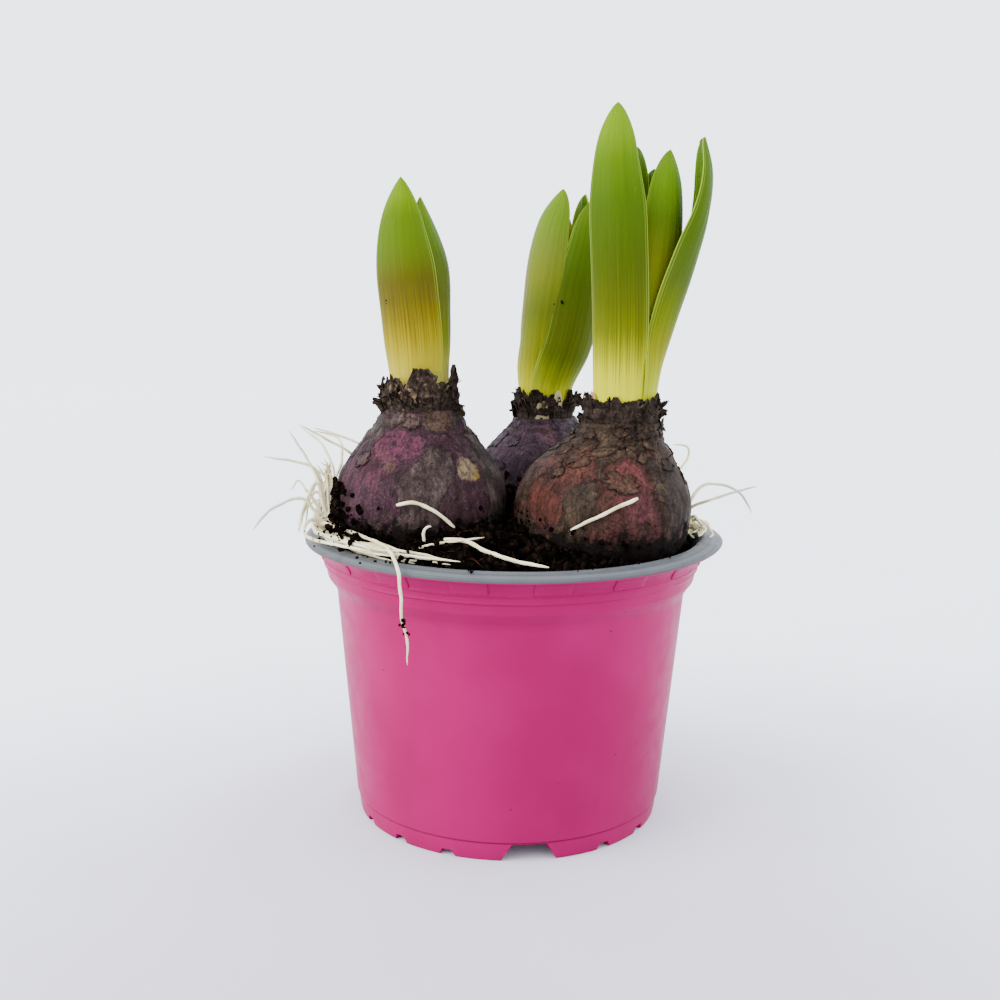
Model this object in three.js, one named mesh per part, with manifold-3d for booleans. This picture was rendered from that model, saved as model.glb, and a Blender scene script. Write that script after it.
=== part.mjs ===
// Potted hyacinths: three bulbs with young shoots in a pink nursery pot, loose white roots on the soil.
// Millimetres, +Z up. The origin is the centre of the pot's foot, and the front of the object faces -Y.

import * as THREE from 'three';
import { mergeVertices } from 'three/addons/utils/BufferGeometryUtils.js';
import Module from 'manifold-3d';

const wasm = await Module();
wasm.setup();

// Driving dimensions shared by several pieces

const GAP = 0.3;
const TURN = 2 * Math.PI;
const DEGREE = Math.PI / 180;

// The pot: a thin moulded wall, its outline given as radius and height

const LIP_TOP = 83.4;
const LIP_RADIUS = 60.0;
const FLOOR_TOP = 6.0;
const FLOOR_UNDERSIDE = 4.0;
const POT_SEGMENTS = 48;
const POT_OUTSIDE = [
  [39.8, FLOOR_UNDERSIDE], [40.4, 0], [44.2, 0], [44.9, 5.2], [45.3, 5.6], [50.8, 66.5],
  [51.3, 68.0], [53.6, 71.2], [54.1, 74.3], [54.9, 76.6], [55.3, 78.0],
  [57.2, 80.6], [59.6, 80.7], [LIP_RADIUS, 81.4], [59.2, 82.5], [57.2, 83.2],
];
const POT_INSIDE = [
  [55.6, LIP_TOP], [54.6, 83.0], [53.6, 77.5], [52.9, 72.3], [50.2, 67.8],
  [44.4, 7.0], [43.6, FLOOR_TOP],
];

// The thin lip is pushed out a little at one place, at the object's right

const LIP_BULGE = { at: 3, spread: 14, reach: 2.1, from: 55.6 };

// Feet: three wide notches and four low ones between each pair, as angles round the foot

const WIDE_NOTCHES = { count: 3, at: -82, widthBelow: 16.5, widthAbove: 9.5, height: 5.0 };
const LOW_NOTCHES = { offsets: [-50, -29.5, 29.5, 50], widthBelow: 5.4, widthAbove: 3.0, height: 1.9 };
const NOTCH_RADIUS = 43.4;
const NOTCH_DEPTH = 7.4;
const DRAIN_HOLES = { count: 6, radius: 3.5, ring: 27, segments: 14, length: 4 };

// Stacking lugs on the band under the lip

const LUGS = { count: 16, at: -146, width: 10.4, inner: 54.7, outer: 56.2, low: 77.0, high: 81.0 };

// The soil: a plug with a lumpy, mounded top

const SOIL = { base: FLOOR_TOP + GAP, segments: 48, rings: 6, edge: 52.7, edgeHeight: 81.4 };
const SOIL_DOME = 6.2;
const SOIL_MOUNDS = [
  { x: -2, y: 2, height: 6.4, spread: 10 },
  { x: -16, y: -33, height: 2.8, spread: 10 },
];
const SOIL_LUMP = { height: 0.6, alongX: 0.55, alongY: 0.47, slantX: 0.31, slantY: 0.73, slantShare: 0.6 };

// The bulbs: outline as height and radius, bending from the body's centre to the neck's centre

const BULBS = {
  right: {
    body: [25.6, -16], neck: [30.1, -16], mouth: 9.3, floor: 106, lean: 103, ribs: 9, phase: 0.4,
    outline: [[71, 7.5], [73.5, 13.5], [77.5, 17.6], [82, 21.2], [87.5, 23.6], [93.5, 24.4], [98.5, 23.4],
      [104, 20.5], [109, 16.2], [113, 12.5], [117.4, 10.6]],
  },
  left: {
    body: [-26.0, -9], neck: [-26.0, -9], mouth: 8.7, floor: 108, lean: 103, ribs: 8, phase: 2.1,
    outline: [[71, 7.2], [73.5, 13.2], [77.5, 17.2], [82, 20.8], [87.5, 23.2], [93, 24.1], [99, 23.2],
      [105, 20.3], [110.5, 16.4], [115.5, 12.4], [119.6, 10.0]],
  },
  back: {
    body: [9.9, 29], neck: [9.9, 29], mouth: 7.7, floor: 105, lean: 103, ribs: 7, phase: 4.0,
    outline: [[70, 6.5], [72.5, 12.0], [76.5, 16.0], [81, 19.2], [86.5, 21.4], [92, 22.0], [97.5, 20.9],
      [102.5, 18.0], [107, 14.0], [110.5, 10.8], [113.4, 9.0]],
  },
};
const BULB_SEGMENTS = 24;
const BULB_RIB = 0.25;
const BULB_RIB_RISE = 12;
const MOUTH_CLEARANCE = 2;

// The torn tops of the dry tunics, standing round the leaves

const CROWNS = {
  right: { low: 117.7, high: 123.0, ragged: 2.6, inner: 9.5, outer: 11.0, flare: 0.8, seed: 3 },
  left: { low: 119.9, high: 126.0, ragged: 3.4, inner: 8.9, outer: 10.7, flare: 1.0, seed: 8 },
  back: { low: 113.7, high: 118.8, ragged: 2.4, inner: 7.9, outer: 9.6, flare: 0.9, seed: 5 },
};
const CROWN_COLUMNS = 24;
const CROWN_BULGE = 0.7;
const CROWN_RIM = { thickness: 0.7, drop: 0.5, flareShare: 0.6 };

// Leaves: each is a channelled blade whose back runs from its foot in the neck, through the listed points,
// to its tip. facing is the way the back looks at the foot, half way and at the tip. tuck turns the section
// just above the neck, so that one margin slips inside the next leaf. fold is half the angle that the
// channel's arc spans.

const LEAVES = {
  right: {
    front: {
      base: 8.9, facing: [-103, -102, -98], tuck: 0, width: 8.9, foot: 0.96, taper: 0.66, fold: [52, 46],
      through: [[27.9, -26.0, 127], [27.6, -27.2, 147], [26.6, -27.0, 168], [25.8, -24.6, 187]],
      tip: [26.4, -20.8, 201.8],
    },
    side: {
      base: 8.9, facing: [-2, -22, 10], tuck: 10, width: 9.4, foot: 0.84, taper: 0.6, fold: [62, 76],
      through: [[39.9, -18.4, 129], [43.8, -19.2, 145], [48.6, -18.8, 160.4], [51.8, -17.6, 173],
        [52.5, -16.4, 184]],
      tip: [50.4, -15.0, 193.8],
    },
    inner: {
      base: 6.4, facing: [-54, -58, -72], tuck: 0, width: 8.4, foot: 0.76, taper: 0.62, fold: [54, 48],
      through: [[35.4, -22.0, 128], [38.6, -21.6, 148], [40.8, -19.4, 168], [41.4, -16.0, 182]],
      tip: [41.5, -12.6, 190.6],
    },
    back: {
      base: 8.9, facing: [64, 66, 70], tuck: 0, width: 8.6, foot: 0.92, taper: 0.62, fold: [52, 46],
      through: [[34.6, -6.8, 126], [36.8, -4.6, 146], [38.2, -3.8, 166]],
      tip: [38.0, -6.0, 186.0],
    },
    rear: {
      base: 6.4, facing: [138, 130, 116], tuck: 0, width: 8.0, foot: 0.8, taper: 0.62, fold: [52, 46],
      through: [[25.4, -10.4, 126], [26.8, -8.0, 148], [29.8, -6.6, 170]],
      tip: [32.9, -8.4, 191.6],
    },
  },
  left: {
    front: {
      base: 8.3, facing: [-102, -99, -96], tuck: 0, width: 9.9, foot: 0.83, taper: 0.6, fold: [54, 50],
      through: [[-27.8, -17.6, 127], [-28.6, -19.2, 141], [-30.1, -19.2, 155], [-31.3, -17.4, 168]],
      tip: [-31.3, -13.2, 182.6],
    },
    side: {
      base: 8.3, facing: [-2, -14, -24], tuck: 12, width: 8.2, foot: 0.9, taper: 0.6, fold: [56, 50],
      through: [[-18.0, -10.2, 127], [-18.0, -11.0, 145], [-19.0, -11.0, 160]],
      tip: [-26.2, -9.0, 177.6],
    },
    back: {
      base: 8.3, facing: [86, 86, 86], tuck: 0, width: 7.8, foot: 0.95, taper: 0.6, fold: [54, 46],
      through: [[-25.0, 0.0, 127], [-25.6, 1.0, 144], [-26.6, 0.0, 158]],
      tip: [-28.0, -3.4, 171.0],
    },
    rear: {
      base: 5.8, facing: [164, 164, 164], tuck: 0, width: 6.4, foot: 0.9, taper: 0.6, fold: [54, 46],
      through: [[-32.4, -6.8, 128], [-34.0, -6.4, 142], [-34.0, -7.0, 154]],
      tip: [-32.6, -8.4, 165.0],
    },
  },
  back: {
    front: {
      base: 7.3, facing: [-66, -72, -70], tuck: 0, width: 9.2, foot: 0.96, taper: 0.6, fold: [56, 48],
      through: [[13.6, 21.4, 123], [18.0, 19.2, 137], [21.0, 19.2, 153], [23.0, 20.6, 168]],
      tip: [23.8, 24.0, 179.4],
    },
    side: {
      base: 7.3, facing: [-150, -132, -120], tuck: 12, width: 9.0, foot: 0.82, taper: 0.62, fold: [56, 50],
      through: [[3.9, 25.2, 123], [5.0, 22.8, 140], [6.9, 21.6, 157], [10.0, 22.4, 172]],
      tip: [14.2, 25.6, 182.2],
    },
    inner: {
      base: 4.8, facing: [-100, -98, -98], tuck: 0, width: 6.0, foot: 0.8, taper: 0.6, fold: [54, 46],
      through: [[10.6, 23.4, 124], [12.4, 23.6, 144], [14.0, 24.6, 162]],
      tip: [14.4, 28.6, 177.0],
    },
    rear: {
      base: 7.3, facing: [48, 48, 46], tuck: 0, width: 8.0, foot: 0.95, taper: 0.6, fold: [54, 48],
      through: [[16.2, 35.0, 124], [20.2, 37.0, 144], [22.6, 36.6, 164]],
      tip: [21.4, 32.6, 181.2],
    },
  },
};
const LEAF_ROWS = 10;
const LEAF_COLUMNS = 5;
const LEAF_THICKNESS = 2.0;
const MARGIN_THICKNESS = 0.7;
const TAPER_POWER = 2.2;
const THROAT_SHARE = 0.12;
const OPENING_SHARE = 0.28;
const SWELL_SHARE = 0.45;
const ROW_SPACING = 0.85;
const LAST_ROW = 0.985;
const THICKNESS_LIMIT = 0.9;
const THROAT_STEP = 0.1;

// Flower buds: short green spikes of tight florets, down between the leaves

const BUDS = {
  right: { height: 46, radius: 4.0 },
  left: { height: 38, radius: 3.6 },
  back: { height: 42, radius: 2.6 },
};
const FLORET_ROWS = 6;
const FLORETS_ROUND = 6;
const FLORET_RELIEF = 0.16;
const BUD_OUTLINE = { start: 0.18, span: 0.8, power: 0.7 };
const STALK_SHARE = 0.25;
const STALK_BLEND = 0.15;

// Roots: white strands, each a list of points along its route. A stub stands in a plain hole in the soil,
// and the strands leave from its head.

const STRAND_RADIUS = 0.65;
const STRAND_SIDES = 5;
const STEPS_PER_POINT = 2;
const STUB_SEGMENTS = 10;
const ARCH = {
  rise: 6, step: 3, outward: [0, 2.6, 5, 8.4, 10.6], slack: [0, 0, 0, 0, 0.25],
  lean: [0, 0, 0, -1, -2], aside: [0.1, 0.35, 0.6, 0.8, 1],
};
const ROOTS = {
  left: {
    stub: { x: -49.8, y: -13, radius: 1.9, floor: 77, head: 85.4 },
    strands: [
      [[-49.8, -13.4, 84], [-52, -14, 90.5], [-54.2, -13.4, 97.5], [-57, -13.4, 104], [-62.6, -14, 113]],
      [[-49.8, -12.6, 84], [-52, -9, 92], [-51.8, -2, 100], [-56.4, 4, 107.4], [-62.6, 6, 111.6]],
      [[-49.8, -12.4, 84], [-52.4, -6, 93], [-50.6, 7, 102], [-52.8, 15, 107.4], [-60.6, 16, 109.4]],
      [[-50, -13.4, 84], [-52.4, -12.8, 92], [-55.4, -12.6, 102], [-62.4, -14, 104.6], [-69.6, -14, 105.6]],
      [[-50, -13.2, 84], [-53.6, -15, 90], [-57.4, -16, 96.4], [-60, -16, 99.4], [-61.8, -16, 96.4]],
      [[-50.2, -13.4, 84], [-54, -16, 89], [-58.6, -18, 94.6], [-64.6, -20, 93], [-69.4, -20, 89.2],
        [-72, -20, 85.8]],
      [[-50, -13.6, 84.4], [-52.4, -17.4, 87.6], [-49.4, -22.4, 87.6], [-43, -27.4, 87], [-36, -37, 86.6],
        [-27.4, -46.6, 86]],
      [[-50.4, -13.4, 84.4], [-55, -18.6, 87.4], [-53.6, -24.6, 86.4], [-44.6, -34, 86], [-35, -43, 85.8],
        [-25.4, -45.6, 86]],
      [[-50.2, -13, 84.4], [-56, -17, 88.4], [-57.8, -20, 86.6], [-55.6, -26, 85.2], [-47, -35, 85.2],
        [-36, -45.4, 85.8]],
      [[-37.4, -35, 86.8], [-32.6, -42.4, 86.2], [-29.6, -51.8, 85.2], [-28.4, -55, 82.6], [-27.6, -55.6, 77],
        [-27.6, -54.6, 70.4], [-26.4, -54, 66], [-26.2, -52.6, 57.6]],
    ],
    arches: { count: 4, top: 99, spread: 5.4, foot: 85.2 },
  },
  right: {
    stub: { x: 50.2, y: 6, radius: 1.6, floor: 77, head: 85.2 },
    strands: [
      [[50.4, 5.8, 84], [52.4, 1, 90], [56.6, -2, 92.6], [64, 0, 94.8], [71.8, 2, 96.6]],
      [[50.6, 6, 84], [53, 6.4, 91], [57.4, 8, 95.8], [65, 10, 95], [68.8, 10, 92.8], [72.2, 10, 87.2]],
      [[50.2, 6.4, 84], [50.6, 14, 92], [51.6, 20.6, 98.4], [54.4, 22.6, 102.4], [53.8, 24, 105.2],
        [49.6, 24, 105.6]],
      [[50.4, 5.8, 84.4], [53.4, 1, 87.6], [54.6, -5, 86.8], [55.8, -8.6, 85.8], [53.8, -13.4, 85.2]],
      [[50.6, 6, 84], [54, 2.4, 86.4], [56.4, -5.6, 86.4], [57.2, -12, 85], [56, -16, 84.8]],
    ],
  },
  soil_front: {
    strands: [
      [[-17.4, -41.4, 88.4], [-12.4, -41.6, 88.2], [-6.6, -45.4, 86.4], [1.8, -50.6, 84.8],
        [9.6, -55.4, 84.5]],
    ],
  },
  bulb_left_front: {
    strands: [[[-30.8, -34, 95.9], [-26.4, -34.4, 96.8], [-21.2, -34, 94.8], [-14.6, -32.4, 89.4]]],
  },
  bulb_right_front: {
    strands: [[[33.0, -39.6, 99.8], [24.4, -41.4, 95.9], [15.6, -39.6, 91.0]]],
  },
};

// Finishes

const FINISH = {
  pot: { color: 0xc8437f, roughness: 0.45 },
  soil: { color: 0x1c1411, roughness: 0.95 },
  bulb: { color: 0x5a3040, roughness: 0.7 },
  crown: { color: 0x2a211c, roughness: 0.9 },
  leaf: { color: 0x86a51a, roughness: 0.4 },
  bud: { color: 0x6f8f2a, roughness: 0.55 },
  root: { color: 0xe9e4d0, roughness: 0.6 },
};

// Helpers: meshes, solids and repeatable random numbers

function material(finish) {
  return new THREE.MeshStandardMaterial({ ...finish, metalness: 0 });
}

function seededRandom(seed) {
  let state = seed * 7919 + 17;
  return () => {
    state = (state * 16807) % 2147483647;
    return state / 2147483647;
  };
}

function mix(a, b, t) {
  return a + (b - a) * t;
}

function clamp01(t) {
  return Math.min(1, Math.max(0, t));
}

function smooth(t) {
  const u = clamp01(t);
  return u * u * (3 - 2 * u);
}

function signedVolume(points, index) {
  const corners = [new THREE.Vector3(), new THREE.Vector3(), new THREE.Vector3()];
  let volume = 0;
  for (let i = 0; i < index.length; i += 3) {
    corners.forEach((corner, k) => corner.fromArray(points, 3 * index[i + k]));
    volume += corners[0].dot(corners[1].clone().cross(corners[2])) / 6;
  }
  return volume;
}

// A closed mesh becomes a solid: shared corners are merged, flat slivers dropped, faces turned outwards
function toSolid(geometry) {
  const plain = geometry.clone();
  plain.deleteAttribute('normal');
  plain.deleteAttribute('uv');
  const merged = mergeVertices(plain, 1e-4);
  const points = merged.attributes.position.array;
  const all = merged.index.array;
  const kept = [];
  for (let i = 0; i < all.length; i += 3) {
    const [a, b, c] = [all[i], all[i + 1], all[i + 2]];
    if (a !== b && b !== c && c !== a) {
      kept.push(a, b, c);
    }
  }
  if (signedVolume(points, kept) < 0) {
    kept.reverse();
  }
  return new wasm.Manifold(new wasm.Mesh({
    numProp: 3,
    vertProperties: Float32Array.from(points),
    triVerts: Uint32Array.from(kept),
  }));
}

function toGeometry(solid) {
  const mesh = solid.getMesh();
  const geometry = new THREE.BufferGeometry();
  geometry.setAttribute('position', new THREE.BufferAttribute(Float32Array.from(mesh.vertProperties), 3));
  geometry.setIndex(Array.from(mesh.triVerts));
  geometry.computeVertexNormals();
  return geometry;
}

// The largest body of a solid, without the loose scraps that a cut can leave
function largestBody(solid) {
  const bodies = solid.decompose();
  return bodies.reduce((best, body) => (body.volume() > best.volume() ? body : best));
}

function nodeOf(name, solid, finish) {
  const mesh = new THREE.Mesh(toGeometry(solid), material(finish));
  mesh.name = name;
  return mesh;
}

function lathe(outline, segments) {
  const points = outline.map(([radius, height]) => new THREE.Vector2(radius, height));
  return new THREE.LatheGeometry(points, segments).rotateX(Math.PI / 2);
}

// Rings of equal length joined side by side; the first and last rings are closed by the given end faces
function loft(rings, startFaces, endFaces) {
  const count = rings[0].length;
  const positions = rings.flat().flatMap((point) => point.toArray());
  const index = [];
  for (let row = 0; row < rings.length - 1; row += 1) {
    for (let i = 0; i < count; i += 1) {
      const next = (i + 1) % count;
      const [a, b] = [row * count + i, row * count + next];
      index.push(a, b, b + count, a, b + count, a + count);
    }
  }
  const last = (rings.length - 1) * count;
  startFaces.forEach(([a, b, c]) => index.push(a, c, b));
  endFaces.forEach(([a, b, c]) => index.push(last + a, last + b, last + c));
  const geometry = new THREE.BufferGeometry();
  geometry.setAttribute('position', new THREE.Float32BufferAttribute(positions, 3));
  geometry.setIndex(index);
  return geometry;
}

function fanFaces(count) {
  return Array.from({ length: count - 2 }, (_, i) => [0, i + 1, i + 2]);
}

function polar(x, y, radius, angle, height) {
  return new THREE.Vector3(x + radius * Math.cos(angle), y + radius * Math.sin(angle), height);
}

// Pot

function wedge({ widthBelow, widthAbove, height }, angle) {
  const shape = new THREE.Shape();
  shape.moveTo(-widthBelow / 2, -1);
  shape.lineTo(widthBelow / 2, -1);
  shape.lineTo(widthBelow / 2, 0);
  shape.lineTo(widthAbove / 2, height);
  shape.lineTo(-widthAbove / 2, height);
  shape.lineTo(-widthBelow / 2, 0);
  const block = new THREE.ExtrudeGeometry(shape, { depth: NOTCH_DEPTH, bevelEnabled: false });
  block.rotateX(Math.PI / 2).translate(0, NOTCH_DEPTH / 2 - NOTCH_RADIUS, 0);
  return toSolid(block.rotateZ((angle + 90) * DEGREE));
}

function notches() {
  const cuts = [];
  for (let i = 0; i < WIDE_NOTCHES.count; i += 1) {
    const middle = WIDE_NOTCHES.at + (i * 360) / WIDE_NOTCHES.count;
    cuts.push(wedge(WIDE_NOTCHES, middle));
    LOW_NOTCHES.offsets.forEach((offset) => cuts.push(wedge(LOW_NOTCHES, middle + offset)));
  }
  return wasm.Manifold.union(cuts);
}

function drainHoles() {
  const holes = [];
  for (let i = 0; i < DRAIN_HOLES.count; i += 1) {
    const angle = (i + 0.5) * (TURN / DRAIN_HOLES.count);
    const { radius, ring, segments, length } = DRAIN_HOLES;
    const hole = new THREE.CylinderGeometry(radius, radius, length, segments).rotateX(Math.PI / 2);
    hole.translate(ring * Math.cos(angle), ring * Math.sin(angle), (FLOOR_TOP + FLOOR_UNDERSIDE) / 2);
    holes.push(toSolid(hole));
  }
  return wasm.Manifold.union(holes);
}

function lug(angle) {
  const shape = new THREE.Shape();
  const half = (LUGS.width / 2) * DEGREE;
  shape.absarc(0, 0, LUGS.outer, angle - half, angle + half, false);
  shape.absarc(0, 0, LUGS.inner, angle + half, angle - half, true);
  const options = { depth: LUGS.high - LUGS.low, bevelEnabled: false, curveSegments: 1 };
  return toSolid(new THREE.ExtrudeGeometry(shape, options).translate(0, 0, LUGS.low));
}

// Pushes the lip's edge out round the bulge
function bulgedLip(geometry) {
  const position = geometry.attributes.position;
  for (let i = 0; i < position.count; i += 1) {
    const [x, y] = [position.getX(i), position.getY(i)];
    const radius = Math.hypot(x, y);
    const away = (Math.atan2(y, x) / DEGREE - LIP_BULGE.at) / LIP_BULGE.spread;
    const share = clamp01((radius - LIP_BULGE.from) / (LIP_RADIUS - LIP_BULGE.from));
    const scale = 1 + (LIP_BULGE.reach * share * Math.exp(-0.5 * away * away)) / Math.max(radius, 1);
    position.setXY(i, x * scale, y * scale);
  }
  return geometry;
}

function potSolid() {
  const outline = [[0, FLOOR_UNDERSIDE], ...POT_OUTSIDE, ...POT_INSIDE, [0, FLOOR_TOP]];
  const shell = toSolid(bulgedLip(lathe(outline, POT_SEGMENTS)));
  const lugs = Array.from({ length: LUGS.count }, (_, i) => lug((LUGS.at + (i * 360) / LUGS.count) * DEGREE));
  return shell.add(wasm.Manifold.union(lugs)).subtract(notches()).subtract(drainHoles());
}

// Bulbs

// The skin of a bulb, larger by the given amount where it cuts the soil
function bulbSkin(bulb, extra = 0) {
  const [lowest, highest] = [bulb.outline[0][0], bulb.outline.at(-1)[0]];
  const rings = bulb.outline.map(([height, radius], row) => {
    const rise = smooth((height - bulb.lean) / (highest - bulb.lean));
    const centre = bulb.body.map((value, axis) => mix(value, bulb.neck[axis], rise));
    const shift = row === 0 ? -extra : 0;
    return Array.from({ length: BULB_SEGMENTS }, (_, i) => {
      const angle = (i / BULB_SEGMENTS) * TURN;
      const depth = BULB_RIB * smooth((height - lowest) / BULB_RIB_RISE);
      const relief = depth * Math.sin(bulb.ribs * angle + bulb.phase);
      return polar(centre[0], centre[1], radius + relief * (1 - rise) + extra, angle, height + shift);
    });
  });
  return toSolid(loft(rings, fanFaces(BULB_SEGMENTS), fanFaces(BULB_SEGMENTS)));
}

function bulbSolid(bulb) {
  const top = bulb.outline.at(-1)[0] + MOUTH_CLEARANCE;
  const mouth = new THREE.CylinderGeometry(bulb.mouth, bulb.mouth, top - bulb.floor, BULB_SEGMENTS);
  mouth.rotateX(Math.PI / 2).translate(bulb.neck[0], bulb.neck[1], (top + bulb.floor) / 2);
  return bulbSkin(bulb).subtract(toSolid(mouth));
}

// Leaves

function leafSpine(bulb, leaf) {
  const angle = leaf.facing[0] * DEGREE;
  const foot = polar(bulb.neck[0], bulb.neck[1], leaf.base, angle, bulb.floor + GAP);
  const throat = polar(bulb.neck[0], bulb.neck[1], leaf.base + THROAT_STEP, angle, bulb.outline.at(-1)[0]);
  const points = [...leaf.through, leaf.tip].map((point) => new THREE.Vector3(...point));
  return new THREE.CatmullRomCurve3([foot, throat, ...points]);
}

function leafHalfWidth(leaf, s) {
  const swell = mix(leaf.foot, 1, smooth(s / SWELL_SHARE));
  const past = clamp01((s - leaf.taper) / (1 - leaf.taper));
  return leaf.width * swell * (1 - past ** TAPER_POWER);
}

function leafFacing(leaf, s) {
  const [foot, half, tip] = leaf.facing;
  return s < 0.5 ? mix(foot, half, smooth(2 * s)) : mix(half, tip, smooth(2 * s - 1));
}

// One section: points along the back from margin to margin, then along the hollow face and back
function leafSection(leaf, spine, s, extra) {
  const middle = spine.getPointAt(s);
  const along = spine.getTangentAt(s);
  const opened = smooth((s - THROAT_SHARE) / OPENING_SHARE);
  const turned = (leafFacing(leaf, s) + 4 * leaf.tuck * opened * (1 - opened)) * DEGREE;
  const facing = new THREE.Vector3(Math.cos(turned), Math.sin(turned), 0);
  const out = facing.clone().addScaledVector(along, -facing.dot(along)).normalize();
  const side = new THREE.Vector3().crossVectors(along, out);
  const halfWidth = leafHalfWidth(leaf, s);
  const openFold = mix(leaf.fold[0], leaf.fold[1], s) * DEGREE;
  const fold = mix(halfWidth / leaf.base, openFold, opened);
  const radius = halfWidth / fold;
  const thick = Math.min(LEAF_THICKNESS, THICKNESS_LIMIT * halfWidth);
  const reach = fold + extra / radius;
  const points = [];
  const place = (angle, inset) => {
    const r = radius - inset;
    const point = middle.clone().addScaledVector(out, r * Math.cos(angle) - radius);
    points.push(point.addScaledVector(side, r * Math.sin(angle)));
  };
  for (let i = 0; i <= LEAF_COLUMNS; i += 1) {
    place(mix(-reach, reach, i / LEAF_COLUMNS), -extra);
  }
  for (let i = LEAF_COLUMNS; i >= 0; i -= 1) {
    const across = Math.abs(2 * (i / LEAF_COLUMNS) - 1);
    const inset = mix(thick, Math.min(thick, MARGIN_THICKNESS), across ** 2) + extra;
    place(mix(-reach, reach, i / LEAF_COLUMNS), inset);
  }
  return points;
}

function sectionFaces() {
  const last = 2 * LEAF_COLUMNS + 1;
  const faces = [];
  for (let i = 0; i < LEAF_COLUMNS; i += 1) {
    faces.push([i, i + 1, last - i - 1], [i, last - i - 1, last - i]);
  }
  return faces;
}

function leafSolid(bulb, leaf, extra = 0) {
  const spine = leafSpine(bulb, leaf);
  const rings = [];
  for (let row = 0; row < LEAF_ROWS; row += 1) {
    const s = (row / (LEAF_ROWS - 1)) ** ROW_SPACING * LAST_ROW;
    rings.push(leafSection(leaf, spine, s, extra));
  }
  const tip = new THREE.Vector3(...leaf.tip);
  rings.push(rings[0].map(() => tip.clone()));
  return toSolid(loft(rings, sectionFaces(), []));
}

// Crowns of torn tunic

function crownSolid(bulb, crown) {
  const random = seededRandom(crown.seed);
  const columns = Array.from({ length: CROWN_COLUMNS }, (_, i) => {
    const angle = (i / CROWN_COLUMNS) * TURN;
    const top = crown.high + crown.ragged * (2 * random() - 1);
    const flare = crown.flare * (0.4 + random());
    const bulge = CROWN_BULGE * random();
    const innerTop = crown.inner + 0.1 + flare * CROWN_RIM.flareShare;
    const outerTop = crown.inner + 0.1 + CROWN_RIM.thickness + flare;
    const profile = [
      [crown.inner, crown.low], [crown.outer, crown.low],
      [crown.outer + bulge, mix(crown.low, top, 0.5)],
      [outerTop, top], [innerTop, top - CROWN_RIM.drop],
    ];
    return profile.map(([radius, height]) => polar(bulb.neck[0], bulb.neck[1], radius, angle, height));
  });
  return toSolid(loft([...columns, columns[0]], [], []));
}

// Flower buds

function budSolid(bulb, bud) {
  const rows = FLORET_ROWS * 2;
  const round = FLORETS_ROUND * 2;
  const rings = [];
  for (let row = 0; row <= rows; row += 1) {
    const rise = row / rows;
    const outline = Math.sin(Math.PI * (BUD_OUTLINE.start + BUD_OUTLINE.span * rise)) ** BUD_OUTLINE.power;
    rings.push(Array.from({ length: round }, (_, i) => {
      const raised = (i + row) % 2 === 0 ? FLORET_RELIEF : -FLORET_RELIEF;
      const radius = bud.radius * outline * (1 + raised * smooth((rise - STALK_SHARE) / STALK_BLEND));
      const height = bulb.floor + GAP + bud.height * rise;
      return polar(bulb.neck[0], bulb.neck[1], radius, (i / round) * TURN, height);
    }));
  }
  return toSolid(loft(rings, fanFaces(round), fanFaces(round)));
}

// Roots

function strandSolid(points) {
  const path = new THREE.CatmullRomCurve3(points.map((point) => new THREE.Vector3(...point)));
  const shape = new THREE.Shape();
  for (let i = 0; i <= STRAND_SIDES; i += 1) {
    const angle = (i / STRAND_SIDES) * TURN;
    const [x, y] = [STRAND_RADIUS * Math.cos(angle), STRAND_RADIUS * Math.sin(angle)];
    if (i === 0) {
      shape.moveTo(x, y);
    } else {
      shape.lineTo(x, y);
    }
  }
  const steps = STEPS_PER_POINT * (points.length - 1);
  return toSolid(new THREE.ExtrudeGeometry(shape, { steps, extrudePath: path, bevelEnabled: false }));
}

// Arching strands that leave the stub, rise beside the bulb and come down on the lip
function archStrands({ stub, arches }) {
  if (!arches) {
    return [];
  }
  return Array.from({ length: arches.count }, (_, i) => {
    const across = (i / (arches.count - 1) - 0.5) * 2;
    const aside = across * arches.spread;
    const crest = arches.top - ARCH.step * (i % 3);
    const heights = [stub.head - 1, stub.head - 1 + ARCH.rise, crest, arches.foot + ARCH.rise, arches.foot];
    return heights.map((height, k) => [
      stub.x - ARCH.outward[k] + ARCH.slack[k] * Math.abs(aside),
      stub.y + ARCH.lean[k] + ARCH.aside[k] * aside,
      height,
    ]);
  });
}

function rootSolid(root) {
  const solids = [...root.strands, ...archStrands(root)].map((route) => strandSolid(route));
  if (root.stub) {
    solids.push(postSolid(root.stub, root.stub.radius, root.stub.floor, root.stub.head));
  }
  return wasm.Manifold.union(solids);
}

function postSolid({ x, y }, radius, low, high) {
  const post = new THREE.CylinderGeometry(radius, radius, high - low, STUB_SEGMENTS);
  return toSolid(post.rotateX(Math.PI / 2).translate(x, y, (low + high) / 2));
}

// Soil

function soilHeight(x, y) {
  const reach = Math.hypot(x, y) / SOIL.edge;
  const dome = SOIL_DOME * (1 - reach ** 3);
  const mound = SOIL_MOUNDS.reduce((sum, heap) => {
    const away = Math.hypot(x - heap.x, y - heap.y) / heap.spread;
    return sum + heap.height * Math.exp(-0.5 * away * away);
  }, 0);
  const crossed = Math.sin(SOIL_LUMP.alongX * x) * Math.cos(SOIL_LUMP.alongY * y);
  const slanted = SOIL_LUMP.slantShare * Math.sin(SOIL_LUMP.slantX * x - SOIL_LUMP.slantY * y);
  return SOIL.edgeHeight + dome + mound + SOIL_LUMP.height * (crossed + slanted) * (1 - reach ** 6);
}

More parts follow.
